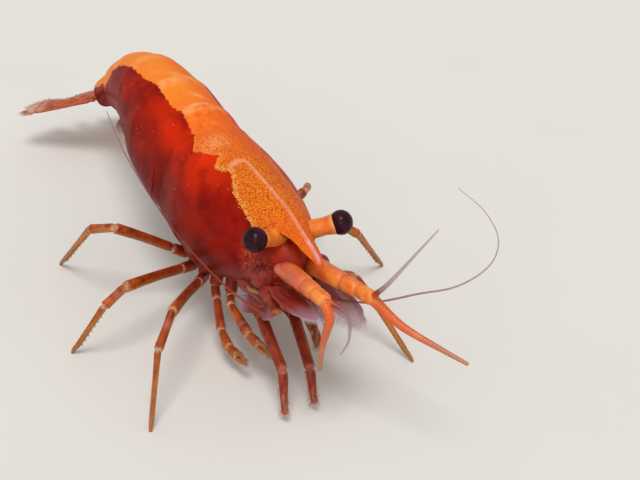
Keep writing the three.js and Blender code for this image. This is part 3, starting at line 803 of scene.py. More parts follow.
# The front edge is rolled only beside the rostrum, towards a line under the back.
LINE_DEPTH = [0, 0, 2.2]
for side in (angles < -NOTCH_ANGLE, angles > NOTCH_ANGLE):
    edge, edge_s = plate_points[0, side], plate_s[0, side]
    out = unit(edge - (back_place(edge_s) - LINE_DEPTH))
    carapace.grid(rolled_edge(edge, plate_points[1, side], -out, 0.5), trunk_lie(edge_s, angles[side]),
                  closed=False)

print("carapace points:", carapace.count)

# %% [markdown]
# The rostrum is a roof with two walls under it. All are read from three short tables, of the
# roof's half-width, how far its edges drop, and how deep its keel is. Where the roof meets
# the carapace, its points are the same as the carapace's, and a Weld modifier joins them.

# %% Rostrum mesh
notch_width, notch_depth = carapace_size(NOTCH_PLACE)
notch_across = notch_width * math.sin(NOTCH_ANGLE)
notch_drop = notch_depth / 2 * (1 - math.cos(NOTCH_ANGLE))
ROOF_WIDTH = [(-ROSTRUM_LENGTH, 0.02), (-2.95, 0.1), (-2.7, 0.18), (-2.4, 0.26), (-2.0, 0.33), (-1.6, 0.37),
              (-1.2, 0.44), (-0.9, 0.54), (-0.6, 0.66), (-0.3, 0.79), (NOTCH_PLACE, notch_across)]
ROOF_DROP = [(-ROSTRUM_LENGTH, 0.01), (-2.8, 0.07), (-2.0, 0.16), (-1.2, 0.24), (-0.6, 0.36), (-0.3, 0.43),
             (NOTCH_PLACE, notch_drop)]
KEEL_DEPTH = [(-ROSTRUM_LENGTH, 0.02), (-2.9, 0.1), (-2.6, 0.2), (-2.0, 0.32), (-1.2, 0.46), (-0.4, 0.58),
              (0.5, 0.6)]


def from_table(pairs, s):
    """The number at a place s, from pairs of place and number."""
    return np.interp(s, *zip(*pairs))


roof_angles = angles[np.abs(angles) <= NOTCH_ANGLE]
roof_s = np.linspace(NOTCH_PLACE, -ROSTRUM_LENGTH, 110)[:, None]
place, left, over = back_at(roof_s)
share = np.sin(roof_angles) / np.sin(NOTCH_ANGLE)
fall = (1 - np.cos(roof_angles)) / (1 - np.cos(NOTCH_ANGLE))
across = from_table(ROOF_WIDTH, roof_s) * share
drop = from_table(ROOF_DROP, roof_s) * fall - crest_height(roof_s, across)
roof = place + left * across[..., None] - over * drop[..., None]
roof_lie = np.stack(np.broadcast_arrays(across * 1.05, roof_s, drop * 0.3), -1)
carapace.grid(roof, roof_lie, closed=False)

# The walls run from the roof's edges down to the keel, where they meet.
wall_share = np.linspace(0, 1, 14)
wall_s = np.linspace(NOTCH_PLACE + 0.1, -ROSTRUM_LENGTH, 80)[:, None]
place, left, over = back_at(wall_s)
edge_width = from_table(ROOF_WIDTH, wall_s)
wall_drop = from_table(ROOF_DROP, wall_s) + from_table(KEEL_DEPTH, wall_s) * wall_share ** 1.3
for sign in (-1, 1):
    wall_across = sign * (edge_width * (1 - wall_share) ** 1.6 + 0.035 * wall_share * (1 - wall_share))
    walls = place + left * wall_across[..., None] - over * wall_drop[..., None]
    wall_lie = np.stack(np.broadcast_arrays(wall_across, wall_s, wall_drop), -1)
    carapace.grid(walls, wall_lie, soft(wall_share, 0.02, 0.2)[None, :], closed=False, flip=sign > 0)

carapace.make("shell_carapace", "red_shell", ["carapace", "rostrum"], weld=0.004)

# %% [markdown]
# ## The rings of the abdomen
# Each of the five rings is a hoop with a rounded flap on each side. The rear edge of each
# hoop lies over the front of the next, which lets the tail curl. In this family of shrimps
# the second flap is broad and overlaps both neighbours, and it is modelled so. A plate's
# length shrinks to nothing along a half-oval as it nears the flap's lower edge.

# %% Rings
FLAP_ANGLE = math.radians(150)
FLAP_START = [0.88, 0.69, 0.68, 0.68, 0.7]
FLAP_SPREAD = [-0.18, 0.42, 0.06, 0.04, 0.0]
FLAP_SWEEP = [-0.1, 0.0, 0.25, 0.3, 0.3]
FLAP_LIFT = [0, 0.055, 0, 0, 0]
RING_OVERLAP = 0.24
ring_columns = np.linspace(-1, 1, 121)
ring_rows = np.linspace(0, 1, 40)[:, None]
beside = np.abs(ring_columns)
for index, length in enumerate(SEGMENT_LENGTHS):
    start = SEGMENT_STARTS[index]
    lobe = np.clip((beside - FLAP_START[index]) / (1 - FLAP_START[index]), 0, 0.995)
    whole = (length + RING_OVERLAP) * (1 + FLAP_SPREAD[index] * soft(beside, 0.42, 0.72))
    part = whole * np.sqrt(1 - lobe ** 2)
    centre = start + length / 2 + FLAP_SWEEP[index] * lobe
    s = centre + (ring_rows - 0.5) * part
    lift = (-0.03 + 0.05 * soft((s - start) / length, 0.05, 0.95)
            + 0.012 * np.exp(-((s - start - length + 0.1) / 0.2) ** 2)
            + FLAP_LIFT[index] * soft(beside, 0.42, 0.6))
    angle = FLAP_ANGLE * ring_columns
    ring = Gather()
    plate(ring, trunk(s, angle, lift), trunk_lie(s, angle), tip=(s - start) / length)
    ring.make(f"shell_abdomen_{index + 1}", "red_shell", [f"abdomen_{index + 1}"])

# %% [markdown]
# The sixth segment has no flaps. It is a long, nearly round sleeve whose rear edge turns in.

# %% Sixth segment
TAIL_STOPS = [-0.03, 0, 0.2, 0.5, 0.85, 0.94, 1]
tail_t = np.linspace(-0.03, 1.0, 44)[:, None]
tail_s = SEGMENT_STARTS[-1] + TAIL_LENGTH * tail_t
tail_angle = np.linspace(-np.pi, np.pi, 64, endpoint=False)
tail_width = 0.68 * np.interp(tail_t, TAIL_STOPS, [1.06, 1.08, 1.04, 1, 0.96, 0.98, 0.9])
tail_depth = 1.5 * np.interp(tail_t, TAIL_STOPS, [1.1, 1.12, 1.06, 1, 0.94, 0.96, 0.88])
sleeve = Gather()
sleeve_points = trunk(tail_s, tail_angle, 0.0, (tail_width, tail_depth))
sleeve.grid(sleeve_points, trunk_lie(tail_s, tail_angle), 0.0, np.clip(tail_t, 0, 1), flip=True)
sleeve.make("shell_abdomen_6", "red_shell", ["abdomen_6"])

# %% [markdown]
# ## The skin under the plates
# Between and below the plates the body has a thin, dark, half-clear skin. One closed skin
# runs from the front of the head, under the rostrum, along the breast between the legs and
# along the belly to the tail. It lies inside the plates, and shows only where they end. It
# could be many small patches, one in each gap, but one closed skin leaves no hole at all.

# %% Skin finish
skin = Finish("under_skin", bleed=(0.15, 0.4, (1.0, 0.35, 0.2)), Specular_IOR_Level=0.12)
mottled = skin.lie.noise(0.5, 3, 0.6)
fine = skin.lie.noise(0.12, 3, 0.6, seed=2.0)
brow = abs(skin.round).fall(0.6, 1.9) * skin.along.fall(-0.9, 0.4)
flecks = skin.lie.noise(0.14, 2, 0.6, seed=5.0).rise(0.48, 0.64)
side_of_head = abs(skin.round).rise(1.7, 2.4) * skin.along.fall(0.2, 1.0)
flesh = skin.coats(
    skin.mix(mottled.rise(0.3, 0.7), tone(112, 18, 12), tone(158, 36, 18)),
    (fine.rise(0.5, 0.75) * 0.3, tone(184, 84, 62)),
    (brow * 0.3, tone(204, 62, 20)),
    (side_of_head * flecks * 0.6, tone(206, 104, 72)),
    (skin.painted("pale") * 0.6, tone(120, 66, 64)))
skin.link(Base_Color=flesh, Roughness=0.3 + 0.2 * fine)
skin.bump(0.6 * mottled + 0.4 * fine, 0.05, 0.5)
print("skin finish with", len(skin.tree.nodes), "nodes")

# %% [markdown]
# The skin's cross-section is an oval. In front its middle, width and height are read from
# stops and smoothed, and further back they follow the trunk. Shallow grooves cross its
# underside, one between each pair of limbs.

# %% Skin mesh
SKIN_STOPS = [-1.25, -1.0, -0.6, 0.0, 0.9, 2.2, 3.8, 5.6, 7.0]
SKIN_MIDDLE = [5.32, 5.3, 5.26, 5.2, 5.1, 5.0, 4.98, 5.05, 5.3]
SKIN_WIDTH = [0.3, 0.78, 1.1, 1.3, 1.48, 1.75, 1.95, 1.95, 1.78]
SKIN_HEIGHT = [0.4, 0.85, 1.15, 1.34, 1.78, 2.15, 2.3, 2.25, 2.1]
front_y = np.linspace(-1.25, 6.9, 70)
belly_s = np.linspace(7.1, 21.55, 90)
place, left, over = back_at(belly_s)
half_width, depth = trunk_size(belly_s)
thin_tail = soft(belly_s, 17.6, 18.9)
half_width = half_width * 0.86 * (1 - thin_tail) + 0.56 * thin_tail
depth_now = depth * (1 - thin_tail) + 1.42 * thin_tail
belly_middle = place - over * (depth_now * 0.5)[:, None]
belly_height = depth_now * (0.44 - 0.03 * thin_tail)
angle = np.linspace(-np.pi, np.pi, 72, endpoint=False)


def oval(middle, side, over, wide, high):
    """Rows of points round a middle line, a little squarer than an ellipse."""
    across = wide[:, None] * np.sign(np.sin(angle)) * np.abs(np.sin(angle)) ** 0.85
    upward = high[:, None] * np.cos(angle)
    return middle[:, None] + side[:, None] * across[..., None] + over[:, None] * upward[..., None]


def eased(values):
    """Values at SKIN_STOPS read along the front of the skin, with the corners smoothed."""
    dense = np.interp(front_y, SKIN_STOPS, values)
    kernel = np.hanning(9) / np.hanning(9).sum()
    return np.convolve(np.pad(dense, 4, "edge"), kernel, "valid")


head_middle = np.column_stack([0 * front_y, front_y, eased(SKIN_MIDDLE)])
upright = np.tile([0, 0, 1.0], (len(front_y), 1))
leftwards = np.tile([1.0, 0, 0], (len(front_y), 1))
skin_points = np.vstack([oval(head_middle, leftwards, upright, eased(SKIN_WIDTH), eased(SKIN_HEIGHT)),
                         oval(belly_middle, left, over, half_width, belly_height)])
groove_place = np.r_[front_y, belly_s][:, None]
grooves = np.where(groove_place < 7.1, np.cos((groove_place - 0.2) * 2 * np.pi / 0.95),
                   np.cos((groove_place - 7.0) * 2 * np.pi / 2.3))
below = soft(-np.cos(angle), 0.2, 0.9)[None, :]
skin_points = skin_points - np.array([0, 0, 1.0]) * (0.05 * grooves * below)[..., None]
skin_lie = np.stack(np.broadcast_arrays(angle * 1.6, groove_place, 0.0), -1)
under = Gather()
under.grid(skin_points, skin_lie, 0.5 * below * soft(groove_place, 0.5, 2.0), flip=True)
under.make("skin_underbody", "under_skin", ["head"])

# %% [markdown]
# ## Eyes
# A shrimp's eye is a dark glossy cap on a short stalk. The cap is a little flatter than a
# ball, with a fine honeycomb that only its gloss shows. The stalk widens to a cup that
# holds it, and has the stripe's golden colour, paler at the rim. The facets could be
# modelled one by one, but they are finer than a hair, so a Bump node shows them.

# %% Eye and stalk finishes
eye = Finish("eye_cap", Coat_Weight=0.12, Coat_Roughness=0.1, Specular_IOR_Level=0.06)
facets = eye.lie.cells(0.028)
violet = eye.lie.noise(0.4, 2)
dark = eye.coats(
    eye.mix(violet.rise(0.35, 0.7), tone(34, 10, 18), tone(60, 20, 34)),
    (eye.painted("pale") * 0.8, tone(96, 34, 22)))
eye.link(Base_Color=dark, Roughness=0.2 + 0.14 * violet)
eye.bump(facets, 0.006, 0.25)

stalk = Finish("eye_stalk", bleed=(0.15, 0.3, (1.0, 0.45, 0.15)), Specular_IOR_Level=0.3)
maze_lines = abs(stalk.lie.noise(0.1, 1.5, 0.5, seed=1.0) - 0.5).rise(0.01, 0.09)
stalk_cloud = stalk.lie.noise(0.4, 3, 0.6, seed=4.0)
gold = stalk.coats(
    stalk.mix(stalk_cloud.rise(0.3, 0.7), tone(235, 106, 26), tone(248, 156, 60)),
    ((1 - maze_lines) * 0.25, tone(186, 66, 14)),
    (stalk.painted("pale") * 0.5, tone(250, 196, 128)))
stalk.link(Base_Color=gold, Roughness=0.3 + 0.2 * stalk_cloud)
stalk.bump(maze_lines * 0.6 + stalk_cloud * 0.4, 0.02, 0.5)
print("finishes:", len(FINISHES))

# %% Eyes and stalks
STALK_ROOT = np.array([0.3, -0.08, 6.37])
STALK_STOPS = [0, 0.15, 0.45, 0.62, 0.8, 0.92, 1]
STALK_SIZES = [0.36, 0.4, 0.38, 0.36, 0.41, 0.44, 0.3]
CAP_FLATNESS = 0.94
for name, sign in SIDES:
    centre = EYE_PLACE * [sign, 1, 1]
    root = STALK_ROOT * [sign, 1, 1]
    axis = unit(centre - root)
    t = np.linspace(0, 1, 28)
    line = root + (centre + axis * 0.02 - root) * t[:, None]
    size = np.interp(t, STALK_STOPS, STALK_SIZES)
    cup = Gather()
    tube(cup, line, size, size * 0.94, 24, part=sign, pale=soft(t, 0.72, 0.9))
    cup.make(f"stalk_{name}", "eye_stalk", [f"eyestalk_{name}"])

    # The cap is built in rings round the stalk's own line, from behind to its front.
    turn = np.linspace(0.02, np.pi - 0.02, 40)
    cap_line = centre - axis * (EYE_RADIUS * np.cos(turn) * CAP_FLATNESS)[:, None]
    cap_size = EYE_RADIUS * np.sin(turn) ** 0.97
    cap = Gather()
    tube(cap, cap_line, cap_size, sides=40, part=sign, pale=1 - soft(turn, 0.5, 0.95))
    cap.make(f"eye_ball_{name}", "eye_cap", [f"eye_{name}"])

# %% [markdown]
# ## Bristles
# Fringes of fine hairs edge the tail fan and the feelers' scales, brush the mouth limbs and
# the small claws, and line the swimmerets. Blender's own hair would be lost when the model
# leaves Blender, so each hair is a thin, curved, three-sided spike of solid mesh. The hairs
# of each kind of limb are gathered into one piece. Its map for baking lays each hair as a
# tiny patch at its root's place, on an unwrap of the limb it grows from.

# %% Bristle finish
bristle = Finish("bristles", Roughness=0.4, Specular_IOR_Level=0.4)
root_to_tip = bristle.painted("tip")
hair_colour = bristle.coats(
    bristle.mix(bristle.lie.noise(0.6, 1).rise(0.3, 0.7), tone(196, 120, 84), tone(222, 168, 132)),
    (root_to_tip.rise(0.4, 1.0) * 0.6, tone(238, 220, 206)),
    (bristle.painted("pale"), tone(214, 200, 210)))
bristle.link(Base_Color=hair_colour, Alpha=0.9 - 0.35 * root_to_tip - 0.3 * bristle.painted("pale"))
print("bristle finish with", len(bristle.tree.nodes), "nodes")

# %% Hairs and fringes
HAIR_STEPS = np.array([0.0, 0.34, 0.7, 1.0])
CORNER_TURNS = np.array([0, 2.094, 4.189])[:, None]
HAIR_PATCH = np.stack(np.meshgrid([0, 0.001, 0.002], HAIR_STEPS * 0.003), -1)
TILES_ACROSS = 4
chance = np.random.default_rng(7)


def hairs(gather, roots, directions, lengths, bend, tile, places, thickness=0.014, clear=0.0):
    """Spikes from roots. tile picks the limb's square of the map, places are 0 to 1 inside it.
    clear turns them from reddish brown to nearly colourless."""
    count = len(roots)
    directions = unit(directions + 0.08 * chance.normal(size=(count, 3)))
    lengths = np.broadcast_to(lengths, count) * chance.uniform(0.8, 1.1, count)
    side = unit(np.cross(directions, chance.normal(size=(count, 3))))
    over = np.cross(directions, side)
    uv = (np.array([tile % TILES_ACROSS, tile // TILES_ACROSS]) + np.clip(places, 0.01, 0.97)) / TILES_ACROSS
    size = thickness * (1 - 0.85 * HAIR_STEPS)
    for k in range(count):
        line = (roots[k] + directions[k] * (lengths[k] * HAIR_STEPS)[:, None]
                + np.asarray(bend) * (lengths[k] * 0.35 * HAIR_STEPS ** 2)[:, None])
        points = line[:, None] + size[:, None, None] * (
            np.cos(CORNER_TURNS) * side[k] + np.sin(CORNER_TURNS) * over[k])
        lie = np.array([places[k][0] * 3, places[k][1] * 3, tile])
        gather.grid(points, lie, clear, HAIR_STEPS[:, None], capped=False, patch=uv[k] + HAIR_PATCH)


def fringe(gather, edge, outward, lengths, bend, tile, row, count, clear=0.0):
    """Hairs along an edge line, pointing outward, with their roots in one row of the tile."""
    steps = np.linspace(0, 1, count)
    source = np.linspace(0, 1, len(edge))
    roots = np.column_stack([np.interp(steps, source, edge[:, k]) for k in range(3)])
    ways = np.column_stack([np.interp(steps, source, outward[:, k]) for k in range(3)])
    lengths = np.interp(steps, np.linspace(0, 1, len(lengths)), lengths)
    places = np.column_stack([steps, np.full(count, row)])
    hairs(gather, roots, unit(ways), lengths, bend, tile, places, clear=clear)


print("bristles ready, on a map of", TILES_ACROSS ** 2, "tiles")

# %% [markdown]
# ## Feelers
# The first pair, the antennules, have a stout orange stem of three joints that bends down
# at its end and splits in two. The second pair have a short stem low on the head, a broad
# clear scale beside it, and the longest feeler. All the feelers are made of fine rings,
# which show as a ripple. They are orange near the head and clear towards their ends. A curve
# with a bevel would make a smooth wire. Rings placed along a line can swell and shrink in
# turn, as the real ones do.

# %% Feeler finishes
stem = Finish("feeler_stem", bleed=(0.2, 0.4, (1.0, 0.45, 0.18)), Specular_IOR_Level=0.3)
stem_tip = stem.painted("tip")
stem_cloud = stem.lie.scaled((1, 0.45, 1)).noise(0.28, 3, 0.6, seed=1.0)
stem_dots = stem.lie.cells(0.11).fall(0.12, 0.3) * stem_cloud.rise(0.45, 0.6)
outer_side = stem.round.fall(0.3, 0.85) * stem_tip.fall(0.3, 0.95)
pink = outer_side + stem_tip.rise(1.3, 1.5)
stem_colour = stem.coats(
    stem.mix(stem_cloud.rise(0.3, 0.68), tone(225, 102, 34), tone(242, 146, 60)),
    (stem_dots * 0.5, tone(250, 188, 116)),
    (stem.painted("pale") * 0.25, tone(246, 176, 120)),
    (stem_tip.fall(0.02, 0.17), tone(140, 26, 10)),
    (pink * (0.5 + 0.45 * stem_cloud.rise(0.35, 0.6)), tone(206, 98, 76)))
stem.link(Base_Color=stem_colour, Roughness=0.3 + 0.2 * stem_cloud)
stem.bump(stem_cloud, 0.03, 0.5)

RING_LENGTH = 0.13
feeler = Finish("feeler_whip", bleed=(0.25, 0.3, (1.0, 0.5, 0.3)))
away = feeler.painted("tip")
ring_wave = (feeler.along * (2 * math.pi / RING_LENGTH)).math("SINE")
clear_share = feeler.painted("pale") * (0.75 + 0.25 * away.rise(0, 0.22))
clear_colour = feeler.mix(away.rise(0.1, 0.45), tone(130, 34, 22), tone(160, 134, 132))
whip = feeler.coats(
    feeler.mix(away.rise(0.15, 1.0), tone(226, 98, 32), tone(196, 128, 92)),
    (ring_wave.rise(0.2, 1.0) * 0.3, tone(150, 50, 18)),
    (feeler.lie.noise(0.5, 2).rise(0.5, 0.7) * 0.3, tone(242, 150, 74)),
    (clear_share, clear_colour))
feeler.link(Base_Color=whip, Alpha=1 - 0.2 * away - 0.42 * clear_share, Roughness=0.35 + 0.1 * ring_wave)
feeler.bump(ring_wave, 0.02, 0.5)
print("finishes:", len(FINISHES))

# %% Courses of the feelers
ANTENNULE_ROOT = np.array([0.56, -1.34, 5.56])
ANTENNULES = {
    "right": {"end": [-0.52, -4.1, 5.95], "scale": [[-0.95, -1.02, 4.8], [-0.78, -4.15, 5.15]],
              "outer": [[-0.45, -4.5, 5.4], [-0.49, -4.4, 4.7], [-0.5, -4.2, 3.9], [-0.46, -4.1, 2.8]],
              "inner": [[0.1, -4.75, 5.6], [0.2, -4.9, 4.6], [0.12, -4.5, 3.6]]},
    "left": {"end": [1.3, -4.42, 5.78], "scale": [[1.02, -1.02, 4.8], [0.98, -4.25, 4.6]],
             "outer": [[1.95, -5.5, 5.1], [2.9, -7.0, 4.7], [3.5, -7.8, 4.45]],
             "inner": [[1.4, -5.3, 6.9], [2.05, -5.5, 7.8], [2.8, -6.0, 9.2]]}}
ANTENNAE = {
    "right": [[-1.55, -2.0, 4.2], [-1.95, -1.3, 4.26], [-2.4, 0.4, 4.4], [-2.7, 3.6, 4.55],
              [-2.7, 7.5, 4.8], [-2.5, 11.0, 5.1], [-2.2, 13.9, 5.6]],
    "left": [[2.0, -3.3, 4.75], [3.4, -4.3, 5.4], [5.0, -4.26, 5.3], [7.2, -3.2, 5.1],
             [9.0, -1.2, 4.8], [10.2, 1.6, 4.4], [10.8, 4.6, 3.9]]}
print("courses:", len(ANTENNAE) + 2 * len(ANTENNULES))

# %% A ringed feeler
def whip_piece(name, points, first, last, replaces, ring_length=RING_LENGTH, clear=0.0, fade=1.0, solid=0.0):
    """A tapering feeler of fine rings. clear is how clear it is beyond its first solid share, and
    fade how far it gets from its colour near the head to its colour at the end."""
    length = np.linalg.norm(np.diff(smooth_line(points, 60), axis=0), axis=1).sum()
    count = int(length / ring_length * 4) + 1
    line = smooth_line(points, count)
    t = np.linspace(0, 1, count)
    size = first + (last - first) * t ** 0.75
    size = size * (1 + 0.045 * np.sin(2 * np.pi * length * t / ring_length))
    size[[0, -1]] *= 0.4
    rod = Gather()
    tube(rod, line, size, pale=clear * soft(t, solid - 0.2, solid), tip=fade * t)
    rod.make(name, "feeler_whip", replaces)


print("rings of a feeler are", RING_LENGTH, "mm long")

# %% Antennules
for name, sign in SIDES:
    shape = ANTENNULES[name]
    root = ANTENNULE_ROOT * [sign, 1, 1]
    end = np.array(shape["end"])
    joints = [root + (end - root) * share for share in (-0.12, 0.5, 0.76, 1.03)]
    peduncle = Gather()
    for k, (first, last) in enumerate(((0.42, 0.37), (0.36, 0.33), (0.32, 0.3))):
        segment(peduncle, joints[k], joints[k + 1] + unit(end - root) * 0.08, first, last,
                (0, 0, -sign), 0.92, 0.02, part=k + 3 * sign, neck=0.97, tips=(0.4 * k, 0.4 * k + 0.4))
    # The sharp spine beside the first joint lies close along it.
    t = np.linspace(0, 1, 32)
    spine_line = (root + np.array([sign * 0.2, 0.0, 0.03]) - np.array([sign * 0.1, 0, 0]) * (t ** 2)[:, None]
                  + (end - root) * np.linspace(-0.2, 0.72, 32)[:, None])
    spine_size = 0.28 * np.sqrt(np.clip(1 - (1 - t / 0.16).clip(0, 1) ** 2, 0.01, 1)) * (1 - t ** 1.6) + 0.008
    tube(peduncle, spine_line, spine_size, spine_size * 0.85, 16, tip=1.55 - 0.22 * t)
    peduncle.make(f"antennule_stem_{name}", "feeler_stem", [f"antennule_{name}"])
    whip_root = (joints[3] - unit(end - root) * 0.14).tolist()
    whip_piece(f"antennule_whip_outer_{name}", [whip_root] + shape["outer"], 0.24, 0.07,
               [f"antennule_flagellum_outer_{name}"])
    whip_piece(f"antennule_whip_inner_{name}", [whip_root] + shape["inner"], 0.13, 0.025,
               [f"antennule_flagellum_inner_{name}"], clear=1.0, solid=0.22)

# %% [markdown]
# The broad scale beside each antenna is a stiff outer rib with a thin clear blade. Its
# edge away from the rib carries a long fringe. The short stem under it starts in a round
# cheek just below the eye. Thin flesh lets light through, and a Transmission setting would
# do that well, but slowly and with much noise. A little Alpha looks the same on so thin a leaf.

# %% Clear blade finish
clear = Finish("clear_blade", bleed=(0.2, 0.4, (1.0, 0.5, 0.35)))
veins = clear.lie.scaled((1.0, 0.16, 1.0)).noise(0.16, 3, 0.6, seed=6.0)
net = clear.lie.noise(0.22, 3, 0.6, seed=2.0)
clear_tip = clear.painted("tip")
clear_colour = clear.coats(
    clear.mix(veins.rise(0.35, 0.65), tone(128, 34, 26), tone(160, 62, 50)),
    (net.rise(0.5, 0.7) * 0.5, tone(96, 26, 40)),
    (clear_tip.rise(0.5, 0.95) * 0.75, tone(186, 160, 182)))
clear.link(Base_Color=clear_colour, Roughness=0.3 + 0.15 * net,
           Alpha=0.85 + 0.15 * clear.painted("pale") - 0.3 * clear_tip)
clear.bump(veins, 0.03, 0.5)
print("clear blade finish with", len(clear.tree.nodes), "nodes")

# %% [markdown]
# The legs are clear orange-brown with dark streaks. Their lower edge is amber and their
# upper side redder. The painted tip runs from 0 at the body to 1 at the foot, with the knee
# at 0.3, so colours along a leg can be placed by it: red near the body, a pink glint past the
# knee with amber before and behind it, and grey towards the foot. The seams are patchy white:
# pale skin with small painted glints on it.

# %% Leg finish
AMBER_BEFORE, GLINT_PLACE, AMBER_BEHIND = 0.27, 0.34, 0.378
limb = Finish("limb_shell", bleed=(0.25, 0.4, (1.0, 0.4, 0.15)), Specular_IOR_Level=0.32)
streaks = limb.lie.scaled((1.0, 0.22, 1.0)).noise(0.13, 3, 0.6, seed=3.0)
patches = limb.lie.noise(0.55, 3, 0.6, seed=8.0)
reach = limb.painted("tip")
flecks = limb.lie.noise(0.13, 2, 0.6, seed=4.0)
# Pale seam skin, with painted glints where the flecks are brightest.
joint_white_and_glint = limb.painted("pale") * (0.25 + flecks.rise(0.46, 0.58) * 0.7)
limb_colour = limb.coats(
    limb.mix(patches.rise(0.3, 0.7), tone(136, 42, 8), tone(184, 90, 20)),
    (limb.round.fall(0.2, 0.52) * 0.6, tone(214, 142, 52)),
    (limb.round.rise(0.36, 0.6) * patches.rise(0.35, 0.6) * 0.45, tone(150, 34, 10)),
    (streaks.rise(0.47, 0.62) * 0.66, tone(92, 24, 8)),
    (reach.fall(0.02, 0.16) * 0.6, tone(140, 26, 12)),
    (reach.near(GLINT_PLACE, 0.002, 0.016) * 0.5, tone(180, 112, 96)),
    (reach.near(AMBER_BEHIND, 0.004, 0.02) * patches.rise(0.3, 0.6) * 0.6, tone(212, 104, 20)),
    (reach.near(AMBER_BEFORE, 0.01, 0.05) * patches.rise(0.4, 0.6) * 0.6, tone(208, 108, 24)),
    (reach.rise(0.5, 1.0) * 0.6, tone(152, 100, 58)),
    (joint_white_and_glint * 0.85, tone(240, 200, 166)))
limb.link(Base_Color=limb_colour, Roughness=0.28 + 0.22 * streaks, Alpha=1 - 0.12 * reach)
limb.bump(streaks * 0.6 + patches * 0.4, 0.025, 0.5)
print("leg finish with", len(limb.tree.nodes), "nodes")

# %% [markdown]
# The mouth limbs are a darker brown red. One finish also serves the cheeks and the pale
# ridge under them. A painted tip above 1.1 marks a cheek, and one above 1.5 the ridge.

# %% Mouth finish
mouth = Finish("mouth_limb", bleed=(0.15, 0.4, (1.0, 0.3, 0.15)), Specular_IOR_Level=0.3)
mouth_tip = mouth.painted("tip")
mouth_cloud = mouth.lie.scaled((1.0, 0.4, 1.0)).noise(0.2, 3, 0.6, seed=5.0)
cheek_spots = mouth.lie.noise(0.11, 2, 0.6, seed=9.0).rise(0.5, 0.66)
ridge_share = mouth_tip.rise(1.5, 1.9) * (0.55 + 0.4 * mouth_cloud.rise(0.35, 0.6))
cheek_colour = mouth.coats(
    mouth.mix(mouth_cloud.rise(0.3, 0.6), tone(116, 28, 22), tone(146, 46, 34)),
    (cheek_spots * 0.3, tone(196, 100, 74)),
    (ridge_share, tone(178, 132, 82)))
mouth_colour = mouth.coats(
    mouth.mix(mouth_cloud.rise(0.3, 0.7), tone(108, 26, 14), tone(160, 58, 28)),
    (mouth_tip.rise(1.1, 1.3), cheek_colour),
    (mouth.painted("pale") * 0.5, tone(214, 142, 108)))
mouth.link(Base_Color=mouth_colour, Roughness=0.3 + 0.2 * mouth_cloud)
mouth.bump(mouth_cloud, 0.025, 0.5)
print("mouth finish with", len(mouth.tree.nodes), "nodes")

# %% [markdown]
# A leaf is one closed grid: round it, the columns go over its upper face and back under it.
# The thick rib is a narrow swelling of both faces at one place across it.

# %% Blades
def blade(gather, start, end, widths, facing, thickness=0.05, rib=0.0, rib_size=0.06, part=0.0,
          cup=0.0, rows=46, sides=40, round_tip=0.85, bow=(0, 0, 0)):
    """A thin leaf between two points with its half-widths at even steps. rib is the place across
    it, from -1 to 1, of a thicker rod. It returns its middle line, the way to its plus side, both
    edges and how far along it each row lies."""
    start, end = np.asarray(start, float), np.asarray(end, float)
    t = np.linspace(0, 1, rows) ** 0.9
    line = start + (end - start) * t[:, None] + np.asarray(bow, float) * np.sin(np.pi * t)[:, None]
    _, side, over = frames(line, facing)
    wide = np.interp(t, np.linspace(0, 1, len(widths)), widths)
    kernel = np.hanning(7) / np.hanning(7).sum()
    wide = np.convolve(np.pad(wide, 3, "edge"), kernel, "valid")
    wide = wide * np.sqrt(1 - np.clip((t - round_tip) / (1 - round_tip), 0, 0.998) ** 2)
    turn = 2 * np.pi * np.arange(sides) / sides
    across = np.cos(turn)
    sheet = thickness * (0.35 + 0.65 * (1 - t[:, None])) * np.sin(turn)
    sheet = sheet * np.sqrt(0.15 + 0.85 * (1 - across ** 2))
    rod = rib_size * (1 - 0.7 * t[:, None]) * np.exp(-((across - rib) / 0.14) ** 2) * np.sign(np.sin(turn))
    cupped = cup * wide[:, None] * (across ** 2 - 0.4)
    points = (line[:, None] + side[:, None] * (wide[:, None] * across)[..., None]
              + over[:, None] * (sheet + rod + cupped)[..., None])
    length = np.linalg.norm(end - start)
    lie = np.stack(np.broadcast_arrays(wide[:, None] * across, (length * t)[:, None], part), -1)
    solid = np.exp(-((across - rib) / 0.2) ** 2) * (1 - 0.5 * t[:, None]) + (1 - soft(t, 0.02, 0.2))[:, None]
    gather.grid(points, lie, np.clip(solid, 0, 1), t[:, None])
    return {"line": line, "side": side, "plus": line + side * wide[:, None],
            "minus": line - side * wide[:, None], "t": t}


print("leaves ready")

